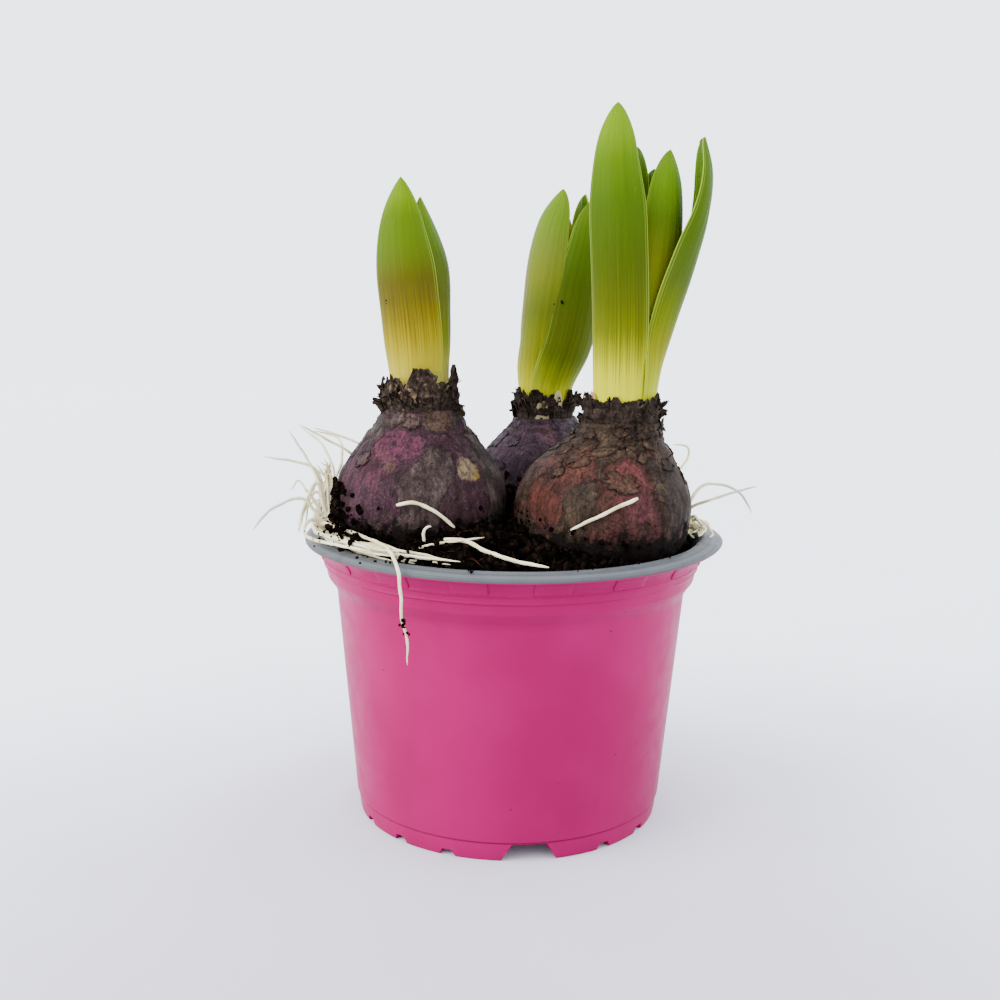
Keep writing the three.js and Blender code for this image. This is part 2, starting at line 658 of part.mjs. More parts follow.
function soilPlug() {
  const walls = POT_INSIDE.slice(3).reverse().map(([radius, height]) => [radius - GAP, height + 0.1]);
  walls[0][1] = SOIL.base;
  const around = Array.from({ length: SOIL.segments }, (_, i) => (i / SOIL.segments) * TURN);
  const rings = walls.map(([radius, height]) => around.map((angle) => polar(0, 0, radius, angle, height)));
  for (let ring = 0; ring < SOIL.rings; ring += 1) {
    const radius = SOIL.edge * (1 - ring / SOIL.rings);
    rings.push(around.map((angle) => {
      const [x, y] = [radius * Math.cos(angle), radius * Math.sin(angle)];
      return new THREE.Vector3(x, y, soilHeight(x, y));
    }));
  }
  const centre = new THREE.Vector3(0, 0, soilHeight(0, 0));
  rings.push(around.map(() => centre.clone()));
  return toSolid(loft(rings, fanFaces(SOIL.segments), []));
}

// The assembled object

function build() {
  const group = new THREE.Group();
  group.add(nodeOf('pot', potSolid(), FINISH.pot));
  let soil = soilPlug();
  const roots = {};
  Object.entries(ROOTS).forEach(([place, root]) => {
    roots[place] = rootSolid(root);
    if (root.stub) {
      const { stub } = root;
      soil = soil.subtract(postSolid(stub, stub.radius + GAP, stub.floor - GAP, LIP_TOP + 10));
    }
  });
  Object.entries(BULBS).forEach(([place, bulb]) => {
    soil = soil.subtract(bulbSkin(bulb, GAP));
    group.add(nodeOf(`bulb_${place}`, bulbSolid(bulb), FINISH.bulb));
    const leaves = Object.entries(LEAVES[place]);
    const grown = leaves.map(([, leaf]) => leafSolid(bulb, leaf, GAP));
    const crown = crownSolid(bulb, CROWNS[place]).subtract(wasm.Manifold.union(grown));
    group.add(nodeOf(`tunic_crown_${place}`, largestBody(crown), FINISH.crown));
    const bud = budSolid(bulb, BUDS[place]).subtract(wasm.Manifold.union(grown));
    group.add(nodeOf(`flower_bud_${place}`, largestBody(bud), FINISH.bud));
    leaves.forEach(([side, leaf], order) => {
      let blade = leafSolid(bulb, leaf);
      grown.slice(0, order).forEach((neighbour) => {
        blade = blade.subtract(neighbour);
      });
      group.add(nodeOf(`leaf_${place}_${side}`, largestBody(blade), FINISH.leaf));
    });
  });
  group.add(nodeOf('soil', largestBody(soil), FINISH.soil));
  Object.entries(roots).forEach(([place, solid]) => {
    group.add(nodeOf(`roots_${place}`, largestBody(solid), FINISH.root));
  });
  return group;
}

export default build();
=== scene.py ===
"""Potted hyacinths: the looks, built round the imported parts.

Three bulbs with young shoots stand in a pink nursery pot of black soil, with loose white roots over
its lip. Sizes are in millimetres in the classes below, and become metres in the meshes. Colours are
chosen for a bright, even studio and Blender's default view.
"""
import logging
from contextlib import contextmanager
from dataclasses import dataclass, field
from enum import Enum
from functools import reduce
from math import atan2, copysign, cos, dist, exp, hypot, pi, radians, sin, sqrt
from random import Random
from typing import Iterator, Sequence

import bpy
import numpy as np
from mathutils import Euler, Matrix, Vector, noise


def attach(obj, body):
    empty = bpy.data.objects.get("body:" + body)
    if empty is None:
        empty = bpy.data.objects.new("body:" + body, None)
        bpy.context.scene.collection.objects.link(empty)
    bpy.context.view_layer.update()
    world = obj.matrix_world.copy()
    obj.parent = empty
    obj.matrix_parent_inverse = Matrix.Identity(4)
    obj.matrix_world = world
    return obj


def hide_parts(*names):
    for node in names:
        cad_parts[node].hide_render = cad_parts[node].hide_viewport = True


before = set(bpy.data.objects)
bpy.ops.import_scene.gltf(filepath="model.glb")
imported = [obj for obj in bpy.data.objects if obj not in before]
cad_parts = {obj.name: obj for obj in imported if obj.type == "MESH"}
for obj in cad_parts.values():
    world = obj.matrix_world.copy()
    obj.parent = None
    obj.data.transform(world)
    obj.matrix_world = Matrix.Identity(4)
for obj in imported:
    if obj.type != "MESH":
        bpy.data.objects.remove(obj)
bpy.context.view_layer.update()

log = logging.getLogger("potted_hyacinth")

MM = 0.001  # metres in a millimetre
TURN = 2 * pi
MERGE = 1e-6  # metres between points that count as one
GAP = 0.3  # millimetres between the floor of a neck and what stands on it
MARKS = "marks"
NOISE_SEED = 28  # Blender's vector noise takes its seed from the clock unless one is set
CLOUD_STEP = (17.3, 5.1, -9.7)
NOISE_STEP = (7.7, 3.1, 5.3)
CELL_STEP = (4.1, 2.3, 6.7)

Point = tuple[float, float, float]
Pair = tuple[float, float]
Strands = tuple[tuple[Point, ...], ...]
Profile = Sequence[Pair]
Socket = bpy.types.NodeSocket
Piece = bpy.types.Object
Array = np.ndarray
Material = bpy.types.Material
Inputs = dict[int | str, object]


class Slot(Enum):
    """The record's material slots."""

    POT = "pot"
    SOIL = "soil"
    BULB = "bulb"
    DRY_TUNIC = "dry_tunic"
    FLOWER_BUD = "flower_bud"
    LEAF = "leaf"
    ROOT = "root"


# ---- Numbers and lines


def mix(a: float, b: float, share: float) -> float:
    """The value a share of the way from a to b."""
    return a + (b - a) * share


def smooth(value: float) -> float:
    """An eased step from 0 to 1."""
    t = min(1.0, max(0.0, value))
    return t * t * (3 - 2 * t)


def paint(code: str) -> tuple[float, float, float, float]:
    """The linear colour of a hexadecimal screen colour.

    Args:
        code: six hexadecimal digits.
    Returns:
        Red, green, blue and opacity.
    """
    levels = [int(code[i:i + 2], 16) / 255 for i in (0, 2, 4)]
    linear = [v / 12.92 if v <= 0.04045 else ((v + 0.055) / 1.055) ** 2.4 for v in levels]
    return (linear[0], linear[1], linear[2], 1.0)


def cloud(point: Array, size: float, seed: float, octaves: int = 3) -> float:
    """Fractal noise at a place.

    Args:
        point: the place, in mm.
        size: the size of the largest features, in mm.
        seed: which noise it is.
        octaves: how many finer layers it has.
    Returns:
        A value from about -1 to 1.
    """
    shift = Vector([seed * step for step in CLOUD_STEP])
    return noise.fractal(Vector(point) / size + shift, 1.0, 2.0, octaves)


def beside(middle: Pair, angle: float, reach: float, height: float) -> Point:
    """The place at an angle and distance from an upright line."""
    return (middle[0] + reach * cos(angle), middle[1] + reach * sin(angle), height)


class Route:
    """A smooth line through listed points, read by its share of length."""

    def __init__(self, points: Sequence[Sequence[float]], samples: int = 40) -> None:
        """Draws the line.

        Args:
            points: the places it passes through.
            samples: steps between two of them.
        """
        spots = [np.array(point, float) for point in points]
        spots = [2 * spots[0] - spots[1], *spots, 2 * spots[-1] - spots[-2]]
        line: list[Array] = []
        for i in range(1, len(spots) - 2):
            line.extend(self._stretch(spots[i - 1:i + 3], samples))
        line.append(spots[-2])
        self.line = np.array(line)
        steps = np.linalg.norm(np.diff(self.line, axis=0), axis=1)
        self.reach = np.concatenate([[0.0], np.cumsum(steps)])
        self.length = float(self.reach[-1])

    @staticmethod
    def _stretch(spots: Sequence[Array], samples: int) -> list[Array]:
        """The points between the middle two of four spots, spaced by the root of their distance.

        Args:
            spots: four spots in order.
            samples: how many points.
        Returns:
            The points, from the second spot on.
        """
        before, start, end, after = spots
        gaps = [max(sqrt(float(np.linalg.norm(b - a))), 1e-4)
                for a, b in ((before, start), (start, end), (end, after))]
        leave = (start - before) / gaps[0] - (end - before) / (gaps[0] + gaps[1]) + (end
            - start) / gaps[1]
        arrive = (end - start) / gaps[1] - (after - start) / (gaps[1] + gaps[2]) + (after
            - end) / gaps[2]
        leave, arrive = leave * gaps[1], arrive * gaps[1]
        square = -3 * start + 3 * end - 2 * leave - arrive
        cube = 2 * start - 2 * end + leave + arrive
        return [start + leave * t + square * t * t + cube * t ** 3
                for t in np.arange(samples) / samples]

    def point(self, share: float) -> Array:
        """The place at a share of the length."""
        at = share * self.length
        return np.array([np.interp(at, self.reach, self.line[:, axis]) for axis in range(3)])

    def direction(self, share: float) -> Array:
        """The unit direction at a share of the length."""
        step = self.point(min(1.0, share + 0.004)) - self.point(max(0.0, share - 0.004))
        return step / np.linalg.norm(step)


# ---- Modelling


def deselect() -> None:
    """Leaves edit mode and clears the selection."""
    if bpy.context.object and bpy.context.object.mode != "OBJECT":
        bpy.ops.object.mode_set(mode="OBJECT")
    bpy.ops.object.select_all(action="DESELECT")


def pick(piece: Piece) -> None:
    """Makes a piece the only one selected.

    Args:
        piece: the object.
    """
    deselect()
    piece.select_set(True)
    bpy.context.view_layer.objects.active = piece


@contextmanager
def editing(piece: Piece, mode: str = "VERT") -> Iterator[None]:
    """Edit mode on a piece, with everything selected at the start.

    Args:
        piece: the object.
        mode: VERT, EDGE or FACE.
    Returns:
        Nothing, for as long as edit mode is on.
    """
    pick(piece)
    bpy.ops.object.mode_set(mode="EDIT")
    bpy.ops.mesh.select_mode(type=mode)
    bpy.ops.mesh.select_all(action="SELECT")
    yield
    bpy.ops.object.mode_set(mode="OBJECT")


def modify(piece: Piece, kind: str, **settings: object) -> None:
    """Adds a modifier and applies it.

    Args:
        piece: the object.
        kind: the modifier's type.
        settings: its values.
    """
    pick(piece)
    modifier = piece.modifiers.new(kind.title(), kind)
    for name, value in settings.items():
        setattr(modifier, name, value)
    bpy.ops.object.modifier_apply(modifier=modifier.name)


def joined(name: str, pieces: Sequence[Piece]) -> Piece:
    """Several objects as one, under a new name.

    Args:
        name: the new name.
        pieces: the objects.
    Returns:
        The one object.
    """
    pick(pieces[0])
    for piece in pieces:
        piece.select_set(True)
    bpy.ops.object.join()
    piece = bpy.context.object
    piece.name = piece.data.name = name
    return piece


def close_up(piece: Piece, fill: bool = True) -> None:
    """Merges doubled points, fills open ends and turns the faces outwards.

    Args:
        piece: the object.
        fill: whether open ends are filled.
    """
    with editing(piece):
        bpy.ops.mesh.remove_doubles(threshold=MERGE)
        if fill:
            bpy.ops.mesh.select_all(action="DESELECT")
            bpy.ops.mesh.select_non_manifold()
            bpy.ops.mesh.fill_holes(sides=0)
        bpy.ops.mesh.select_all(action="SELECT")
        bpy.ops.mesh.normals_make_consistent(inside=False)


def soften(piece: Piece, angle: float | None = None) -> None:
    """Smooth shading, with edges sharper than the angle, in degrees, kept.

    Args:
        piece: the object.
        angle: the angle, or None to smooth every edge.
    """
    pick(piece)
    if angle is None:
        bpy.ops.object.shade_smooth()
    else:
        bpy.ops.object.shade_smooth_by_angle(angle=radians(angle))


def places_of(piece: Piece) -> Array:
    """The places of a piece's points, in mm.

    Args:
        piece: the object.
    Returns:
        One row of three for each point.
    """
    here = np.zeros(len(piece.data.vertices) * 3)
    piece.data.vertices.foreach_get("co", here)
    return here.reshape(-1, 3) / MM


def set_places(piece: Piece, points: Array) -> None:
    """Moves a piece's points to places in mm."""
    piece.data.vertices.foreach_set("co", (points * MM).ravel())
    piece.data.update()


def set_marks(piece: Piece, marks: Array) -> None:
    """Keeps three numbers for each point, which the finishes read.

    Args:
        piece: the object.
        marks: one row of three for each point.
    """
    old = piece.data.attributes.get(MARKS)
    if old is not None:
        piece.data.attributes.remove(old)
    layer = piece.data.attributes.new(MARKS, "FLOAT_VECTOR", "POINT")
    layer.data.foreach_set("vector", marks.astype(float).ravel())


def panel(name: str, points: Array, marks: Array | None = None) -> Piece:
    """A grid primitive whose points are moved to the given places.

    Args:
        name: the piece's name.
        points: places in mm, as rows by columns by 3.
        marks: three numbers for each point, in the same order.
    Returns:
        The new object.
    """
    rows, columns = points.shape[:2]
    deselect()
    bpy.ops.mesh.primitive_grid_add(x_subdivisions=columns - 1, y_subdivisions=rows - 1, size=2)
    piece = bpy.context.object
    piece.name = piece.data.name = name
    here = places_of(piece) * MM
    column = np.rint((here[:, 0] + 1) / 2 * (columns - 1)).astype(int)
    row = np.rint((here[:, 1] + 1) / 2 * (rows - 1)).astype(int)
    set_places(piece, points[row, column])
    if marks is not None:
        set_marks(piece, marks[row, column])
    return piece


def grid_steps(rows: int, columns: int) -> Iterator[tuple[int, int, float, float]]:
    """Each place of a grid, with its share across from -1 to 1 and its share along from 0 to 1.

    Args:
        rows: points along.
        columns: points across.
    Returns:
        The row, the column, the share across and the share along.
    """
    for j in range(rows):
        for i in range(columns):
            yield j, i, 2 * i / (columns - 1) - 1, j / (rows - 1)


def turned(name: str, profile: Profile, steps: int) -> Piece:
    """A body spun round the upright axis from an open outline.

    Args:
        name: the piece's name.
        profile: radius and height of each point, in mm.
        steps: divisions round the axis.
    Returns:
        The new object.
    """
    deselect()
    bpy.ops.mesh.primitive_circle_add(vertices=len(profile), radius=1)
    piece = bpy.context.object
    piece.name = piece.data.name = name
    for vertex, (radius, height) in zip(piece.data.vertices, profile):
        vertex.co = (radius * MM, 0, height * MM)
    last = len(profile) - 1
    with editing(piece, "EDGE"):
        bpy.ops.mesh.select_all(action="DESELECT")
        bpy.ops.object.mode_set(mode="OBJECT")
        for edge in piece.data.edges:
            edge.select = set(edge.vertices) == {0, last}
        bpy.ops.object.mode_set(mode="EDIT")
        bpy.ops.mesh.delete(type="EDGE")
        bpy.ops.mesh.select_all(action="SELECT")
        bpy.ops.mesh.spin(steps=steps, angle=TURN, center=(0, 0, 0), axis=(0, 0, 1))
    close_up(piece, fill=False)
    return piece


def rounded(profile: Profile, passes: int = 2, reach: float = 0.5) -> list[Pair]:
    """An outline with its corners cut and cut again.

    Args:
        profile: radius and height of each point.
        passes: how often corners are cut.
        reach: how far along each side a cut starts, in mm.
    Returns:
        The finer outline.
    """
    line = [np.array(point, float) for point in profile]
    for step in range(passes):
        finer = [line[0]]
        for before, here, after in zip(line, line[1:], line[2:]):
            for other in (before, after):
                away = float(np.linalg.norm(other - here))
                finer.append(here + (other - here) * min(0.3, reach / (step + 1) / away))
        line = [*finer, line[-1]]
    return [(float(x), float(z)) for x, z in line]


def scattered(name: str, models: Sequence[Piece], places: Sequence[Matrix],
              tones: Sequence[float] | None = None) -> Piece:
    """Copies of small models as one mesh.

    Args:
        name: the new piece's name.
        models: the objects that are copied in turn, and then removed.
        places: one matrix for each copy, in mm.
        tones: a mark for each copy, which its finish reads.
    Returns:
        The new object.
    """
    points: list[Array] = []
    faces: list[list[int]] = []
    start = 0
    shapes = []
    for model in models:
        corners = np.array([vertex.co[:] for vertex in model.data.vertices])
        shapes.append((corners, [list(face.vertices) for face in model.data.polygons]))
    for order, place in enumerate(places):
        corners, rings = shapes[order % len(shapes)]
        grid = np.array(place)
        points.append(corners @ grid[:3, :3].T + grid[:3, 3])
        faces.extend([[start + i for i in ring] for ring in rings])
        start += len(corners)
    for model in models:
        bpy.data.objects.remove(model)
    mesh = bpy.data.meshes.new(name)
    mesh.from_pydata((np.concatenate(points) * MM).tolist(), [], faces)
    mesh.update()
    piece = bpy.data.objects.new(name, mesh)
    bpy.context.scene.collection.objects.link(piece)
    if tones is not None:
        marks = np.zeros((len(mesh.vertices), 3))
        marks[:, 0] = np.concatenate([np.full(len(part), tone) for part,
                tone in zip(points, tones)])
        set_marks(piece, marks)
    return piece


def placed(at: Sequence[float], turn: Sequence[float], size: Sequence[float]) -> Matrix:
    """The matrix of a copy: its place in mm, its turn in radians and its size."""
    return Matrix.LocRotScale(Vector(at), Euler(turn), Vector(size))


def finish_piece(piece: Piece, material: Material, slot: Slot, *nodes: str) -> None:
    """Dresses a piece, sets it on the body and hides the CAD parts it replaces.

    Args:
        piece: the finished object.
        material: its finish.
        slot: the record's slot it belongs to; not used.
        nodes: the CAD nodes it replaces.
    """
    piece.data.materials.clear()
    piece.data.materials.append(material)
    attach(piece, "root")
    if nodes:
        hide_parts(*nodes)
    log.info("%s: %d faces", piece.name, len(piece.data.polygons))


# ---- Finishes


class Recipe:
    """A material's nodes, on the piece's own Object coordinates in millimetres.

    A pattern has the size of its features in millimetres, a stretch that says how much closer they
    lie along each axis, and a seed that picks the pattern. Detail counts its finer layers, rough is
    their strength and swirl is how far it is distorted.
    """

    def __init__(self, name: str, roughness: float, specular: float = 0.2) -> None:
        """Starts a material.

        Args:
            name: the material's name.
            roughness: the shader's roughness where no pattern drives it.
            specular: the strength of its gloss.
        """
        self.material = bpy.data.materials.new(name)
        self.material.use_nodes = True
        self.tree = self.material.node_tree
        self.shader = self.tree.nodes["Principled BSDF"]
        self._fill(self.shader, {"Roughness": roughness, "Specular IOR Level": specular})
        here = self._node("TexCoord", {}).outputs["Object"]
        self.place = self.mapped(here, (1 / MM, 1 / MM, 1 / MM))

    def _fill(self, node: bpy.types.Node, inputs: Inputs) -> None:
        """Sets a node's inputs, or links them where a socket is given.

        Args:
            node: the node.
            inputs: what goes to each input.
        """
        for name, value in inputs.items():
            if isinstance(value, bpy.types.NodeSocket):
                self.tree.links.new(value, node.inputs[name])
            else:
                node.inputs[name].default_value = value

    def _node(self, kind: str, inputs: Inputs, **settings: object) -> bpy.types.Node:
        """Adds a node.

        Args:
            kind: its type, without the words ShaderNode.
            inputs: what goes to each input.
            settings: its other properties.
        Returns:
            The new node.
        """
        node = self.tree.nodes.new(f"ShaderNode{kind}")
        for name, value in settings.items():
            setattr(node, name, value)
        self._fill(node, inputs)
        return node

    def mapped(self, vector: Socket, scale: Point, shift: Point = (0, 0, 0)) -> Socket:
        """A vector, scaled and shifted."""
        inputs = {"Vector": vector, "Scale": scale, "Location": shift}
        return self._node("Mapping", inputs).outputs["Vector"]

    def _seeded(self, vector: Socket, size: float, stretch: Point, seed: float,
                step: Point) -> Socket:
        """A vector scaled to the size of a feature, in its seed's own part of the pattern."""
        scale = tuple(along / size for along in stretch)
        return self.mapped(vector, scale, tuple(seed * part for part in step))

    def parts(self, vector: Socket) -> list[Socket]:
        """The three parts of a vector."""
        return list(self._node("SeparateXYZ", {0: vector}).outputs)

    def radius(self) -> Socket:
        """The distance from the upright axis."""
        flat = self.mapped(self.place, (1, 1, 0))
        return self._node("VectorMath", {0: flat}, operation="LENGTH").outputs[1]

    def marks(self) -> Socket:
        """The three numbers kept with the mesh's points."""
        return self._node("Attribute", {}, attribute_name=MARKS).outputs["Vector"]

    def noise(self, size: float, stretch: Point = (1, 1, 1), seed: float = 0.0, detail: float = 4.0,
              rough: float = 0.6, swirl: float = 0.0, vector: Socket | None = None) -> Socket:
        """A cloudy pattern from 0 to 1, of the position or of another vector."""
        where = self._seeded(vector or self.place, size, stretch, seed, NOISE_STEP)
        layers = {"Detail": detail, "Roughness": rough, "Distortion": swirl}
        return self._node("TexNoise", {"Vector": where, "Scale": 1.0, **layers}).outputs["Fac"]

    def cells(self, size: float, stretch: Point = (1, 1, 1), seed: float = 0.0,
              edges: bool = True) -> Socket:
        """Distance to the edges of a pattern of cells, or to their middles."""
        where = self._seeded(self.place, size, stretch, seed, CELL_STEP)
        return self._node("TexVoronoi", {"Vector": where, "Scale": 1.0},
                          feature="DISTANCE_TO_EDGE" if edges else "F1").outputs["Distance"]

    def math(self, kind: str, first: object, second: object = 0.0) -> Socket:
        """One step of arithmetic on two values."""
        return self._node("Math", {0: first, 1: second}, operation=kind).outputs[0]

    def times(self, *values: object) -> Socket:
        """The product of several values."""
        return reduce(lambda total, value: self.math("MULTIPLY", total, value), values)

    def veil(self, under: object, top: object, pattern: Socket, low: float, high: float,
             share: float = 1.0) -> Socket:
        """One colour laid over another as a pattern goes from low to high."""
        return self.over(self.span(pattern, low, high, 0.0, share), under, top)

    def apart(self, first: object, second: object) -> Socket:
        """How far two values are apart."""
        return self.math("ABSOLUTE", self.math("SUBTRACT", first, second))

    def shaken(self, value: Socket, pattern: Socket, amount: float) -> Socket:
        """A value moved up and down by a pattern."""
        return self.math("ADD", value, self.times(self.math("SUBTRACT", pattern, 0.5), amount))

    def span(self, value: Socket, low: float, high: float, start: float = 0.0,
             end: float = 1.0) -> Socket:
        """A value carried smoothly from one range to another, and held at its ends.

        Args:
            value: what is carried.
            low: one end of its range, which may be the higher one.
            high: the other end.
            start: what the first end becomes.
            end: what the other end becomes.
        Returns:
            The new value.
        """
        if low > high:
            low, high, start, end = high, low, end, start
        inputs = {"Value": value, "From Min": low, "From Max": high, "To Min": start, "To Max": end}
        return self._node("MapRange", inputs, interpolation_type="SMOOTHSTEP").outputs["Result"]

    def ramp(self, value: Socket, stops: Sequence[tuple[float, str]]) -> Socket:
        """Colours along a value.

        Args:
            value: what picks the colour.
            stops: a value and a screen colour for each stop.
        Returns:
            The colour.
        """
        node = self._node("ValToRGB", {"Fac": value})
        marks = node.color_ramp.elements
        while len(marks) < len(stops):
            marks.new(0.5)
        for mark, (at, code) in zip(marks, stops):
            mark.position = at
            mark.color = paint(code)
        return node.outputs["Color"]

    def over(self, share: object, under: object, top: object) -> Socket:
        """One colour laid over another by a share."""
        under, top = (paint(tone) if isinstance(tone, str) else tone for tone in (under, top))
        return self._node("Mix", {0: share, 6: under, 7: top}, data_type="RGBA").outputs[2]

    def near(self, centre: Point, radius: float, wobble: Socket, ragged: float = 1.4,
             soft: float = 0.75) -> Socket:
        """A ragged patch of a radius round a point: 1 inside and 0 outside."""
        away = self._node("VectorMath", {0: self.place, 1: centre}, operation="DISTANCE").outputs[1]
        return self.span(self.shaken(away, wobble, 2 * ragged * radius), radius, radius * soft)

    def bumps(self, *layers: tuple[Socket, float]) -> None:
        """Relief from several patterns.

        Args:
            layers: each pattern with its depth in mm.
        """
        normal: dict[str, Socket] = {}
        for height, depth in layers:
            node = self._node("Bump", {"Distance": depth * MM, "Strength": 1.0, "Height": height,
                    **normal})
            normal = {"Normal": node.outputs["Normal"]}
        self._fill(self.shader, normal)

    def done(self, colour: Socket, roughness: Socket | None = None) -> Material:
        """Joins the patterns to the shader.

        Args:
            colour: the base colour.
            roughness: the roughness, where a pattern drives it.
        Returns:
            The finished material.
        """
        self._fill(self.shader, {"Base Color": colour})
        if roughness is not None:
            self._fill(self.shader, {"Roughness": roughness})
        return self.material


@dataclass(frozen=True)
class PlasticFinish:
    """Two-layer moulded plastic: coloured outside, grey inside and on the lip, with painted shade
    along the foot's crease.
    """

    outside: str = "8b054b"
    outside_deep: str = "830444"
    lining: str = "4c4e50"
    lining_deep: str = "3c3e40"
    ring_light: str = "5c5f61"
    ring_dark: str = "35373a"
    speck: str = "1a100e"
    scratch: str = "a83a72"
    # crease: the colour of the painted shade in the groove at the foot's crease
    crease: str = "4a0426"
    dust: str = "221b18"
    crease_height: float = 5.35

    def make(self) -> Material:
        """The finished material.

        Returns:
            The material.
        """
        mat = Recipe("pot_plastic", 0.42, 0.06)
        inner = mat.parts(mat.marks())[0]
        pink = mat.veil(self.outside, self.outside_deep, mat.noise(40, detail=2), 0.38, 0.66)
        scuffs = mat.noise(1.3, (1, 1, 0.4), seed=4, detail=6)
        pink = mat.veil(pink, self.scratch, scuffs, 0.75, 0.8, 0.3)
        # Painted shade: the pink darkens in a thin line along the groove at the foot's crease.
        level = mat.apart(mat.parts(mat.place)[2], self.crease_height)
        pink = mat.veil(pink, self.crease, level, 0.4, 0.15, 0.55)
        grey = mat.veil(self.lining, self.lining_deep, mat.noise(5, seed=2), 0.4, 0.75, 0.6)
        rings = mat.noise(0.8, seed=1, detail=3, vector=mat.radius())
        grey = mat.veil(grey, self.ring_light, rings, 0.52, 0.66, 0.55)
        grey = mat.veil(grey, self.ring_dark, rings, 0.48, 0.36, 0.55)
        colour = mat.over(inner, pink, grey)
        reach = mat.math("SUBTRACT", mat.cells(8.0, seed=3, edges=False), mat.times(inner, 0.035))
        colour = mat.veil(colour, self.speck, reach, 0.032, 0.022)
        dust = mat.span(mat.noise(1.6, seed=9, detail=6, rough=0.72), 0.66, 0.73)
        colour = mat.over(mat.times(dust, inner, 0.8), colour, self.dust)
        rough = mat.span(mat.noise(6, seed=6, detail=4), 0.3, 0.7, 0.36, 0.48)
        mat.bumps((mat.noise(12, seed=5, detail=1), 0.06),
                  (mat.noise(0.8, seed=7, detail=2), 0.006))
        return mat.done(colour, rough)


@dataclass(frozen=True)
class SoilFinish:
    """Damp black potting soil with brown fibres and crumbs."""

    ground: str = "030202"
    middle: str = "0e0907"
    light: str = "2a1b12"
    brown: str = "4a2c1c"
    brown_at: Point = (-17, -43, 87)
    brown_reach: float = 9.0

    def make(self) -> Material:
        """The finished material.

        Returns:
            The material.
        """
        mat = Recipe("potting_soil", 0.95, 0.0)
        colour = mat.ramp(mat.noise(2.2, detail=8, rough=0.75), [
            (0.30, self.ground), (0.54, self.ground), (0.66, self.middle), (0.82, self.light)])
        wobble = mat.noise(6, seed=4, detail=5)
        brown = mat.span(mat.noise(13, seed=3, detail=4), 0.5, 0.64)
        brown = mat.math("MAXIMUM", brown, mat.near(self.brown_at, self.brown_reach, wobble))
        fleck = mat.span(mat.noise(0.7, (1, 0.35, 1), seed=8, detail=4), 0.56, 0.66)
        colour = mat.over(mat.times(brown, fleck), colour, self.brown)
        mat.bumps((mat.noise(1.7, detail=8, rough=0.75), 1.4),
                  (mat.noise(0.45, seed=5, detail=5), 0.4))
        return mat.done(colour)


@dataclass(frozen=True)
class CrumbFinish:
    """Loose crumbs and fibres, darker or browner from one to the next."""

    name: str
    dark: str
    light: str
    size: float = 3.0

    def make(self) -> Material:
        """The finished material.

        Returns:
            The material.
        """
        mat = Recipe(self.name, 0.95, 0.0)
        tone = mat.span(mat.noise(self.size, detail=5, rough=0.7), 0.45, 0.7)
        mat.bumps((mat.noise(0.4, seed=3, detail=5), 0.3))
        return mat.done(mat.over(tone, self.dark, self.light))


@dataclass(frozen=True)
class Patch:
    """A coloured patch on a bulb's skin. Where it is bare, the outer paper has come off."""

    centre: Point
    radius: float
    code: str
    share: float = 0.85
    bare: float = 0.0


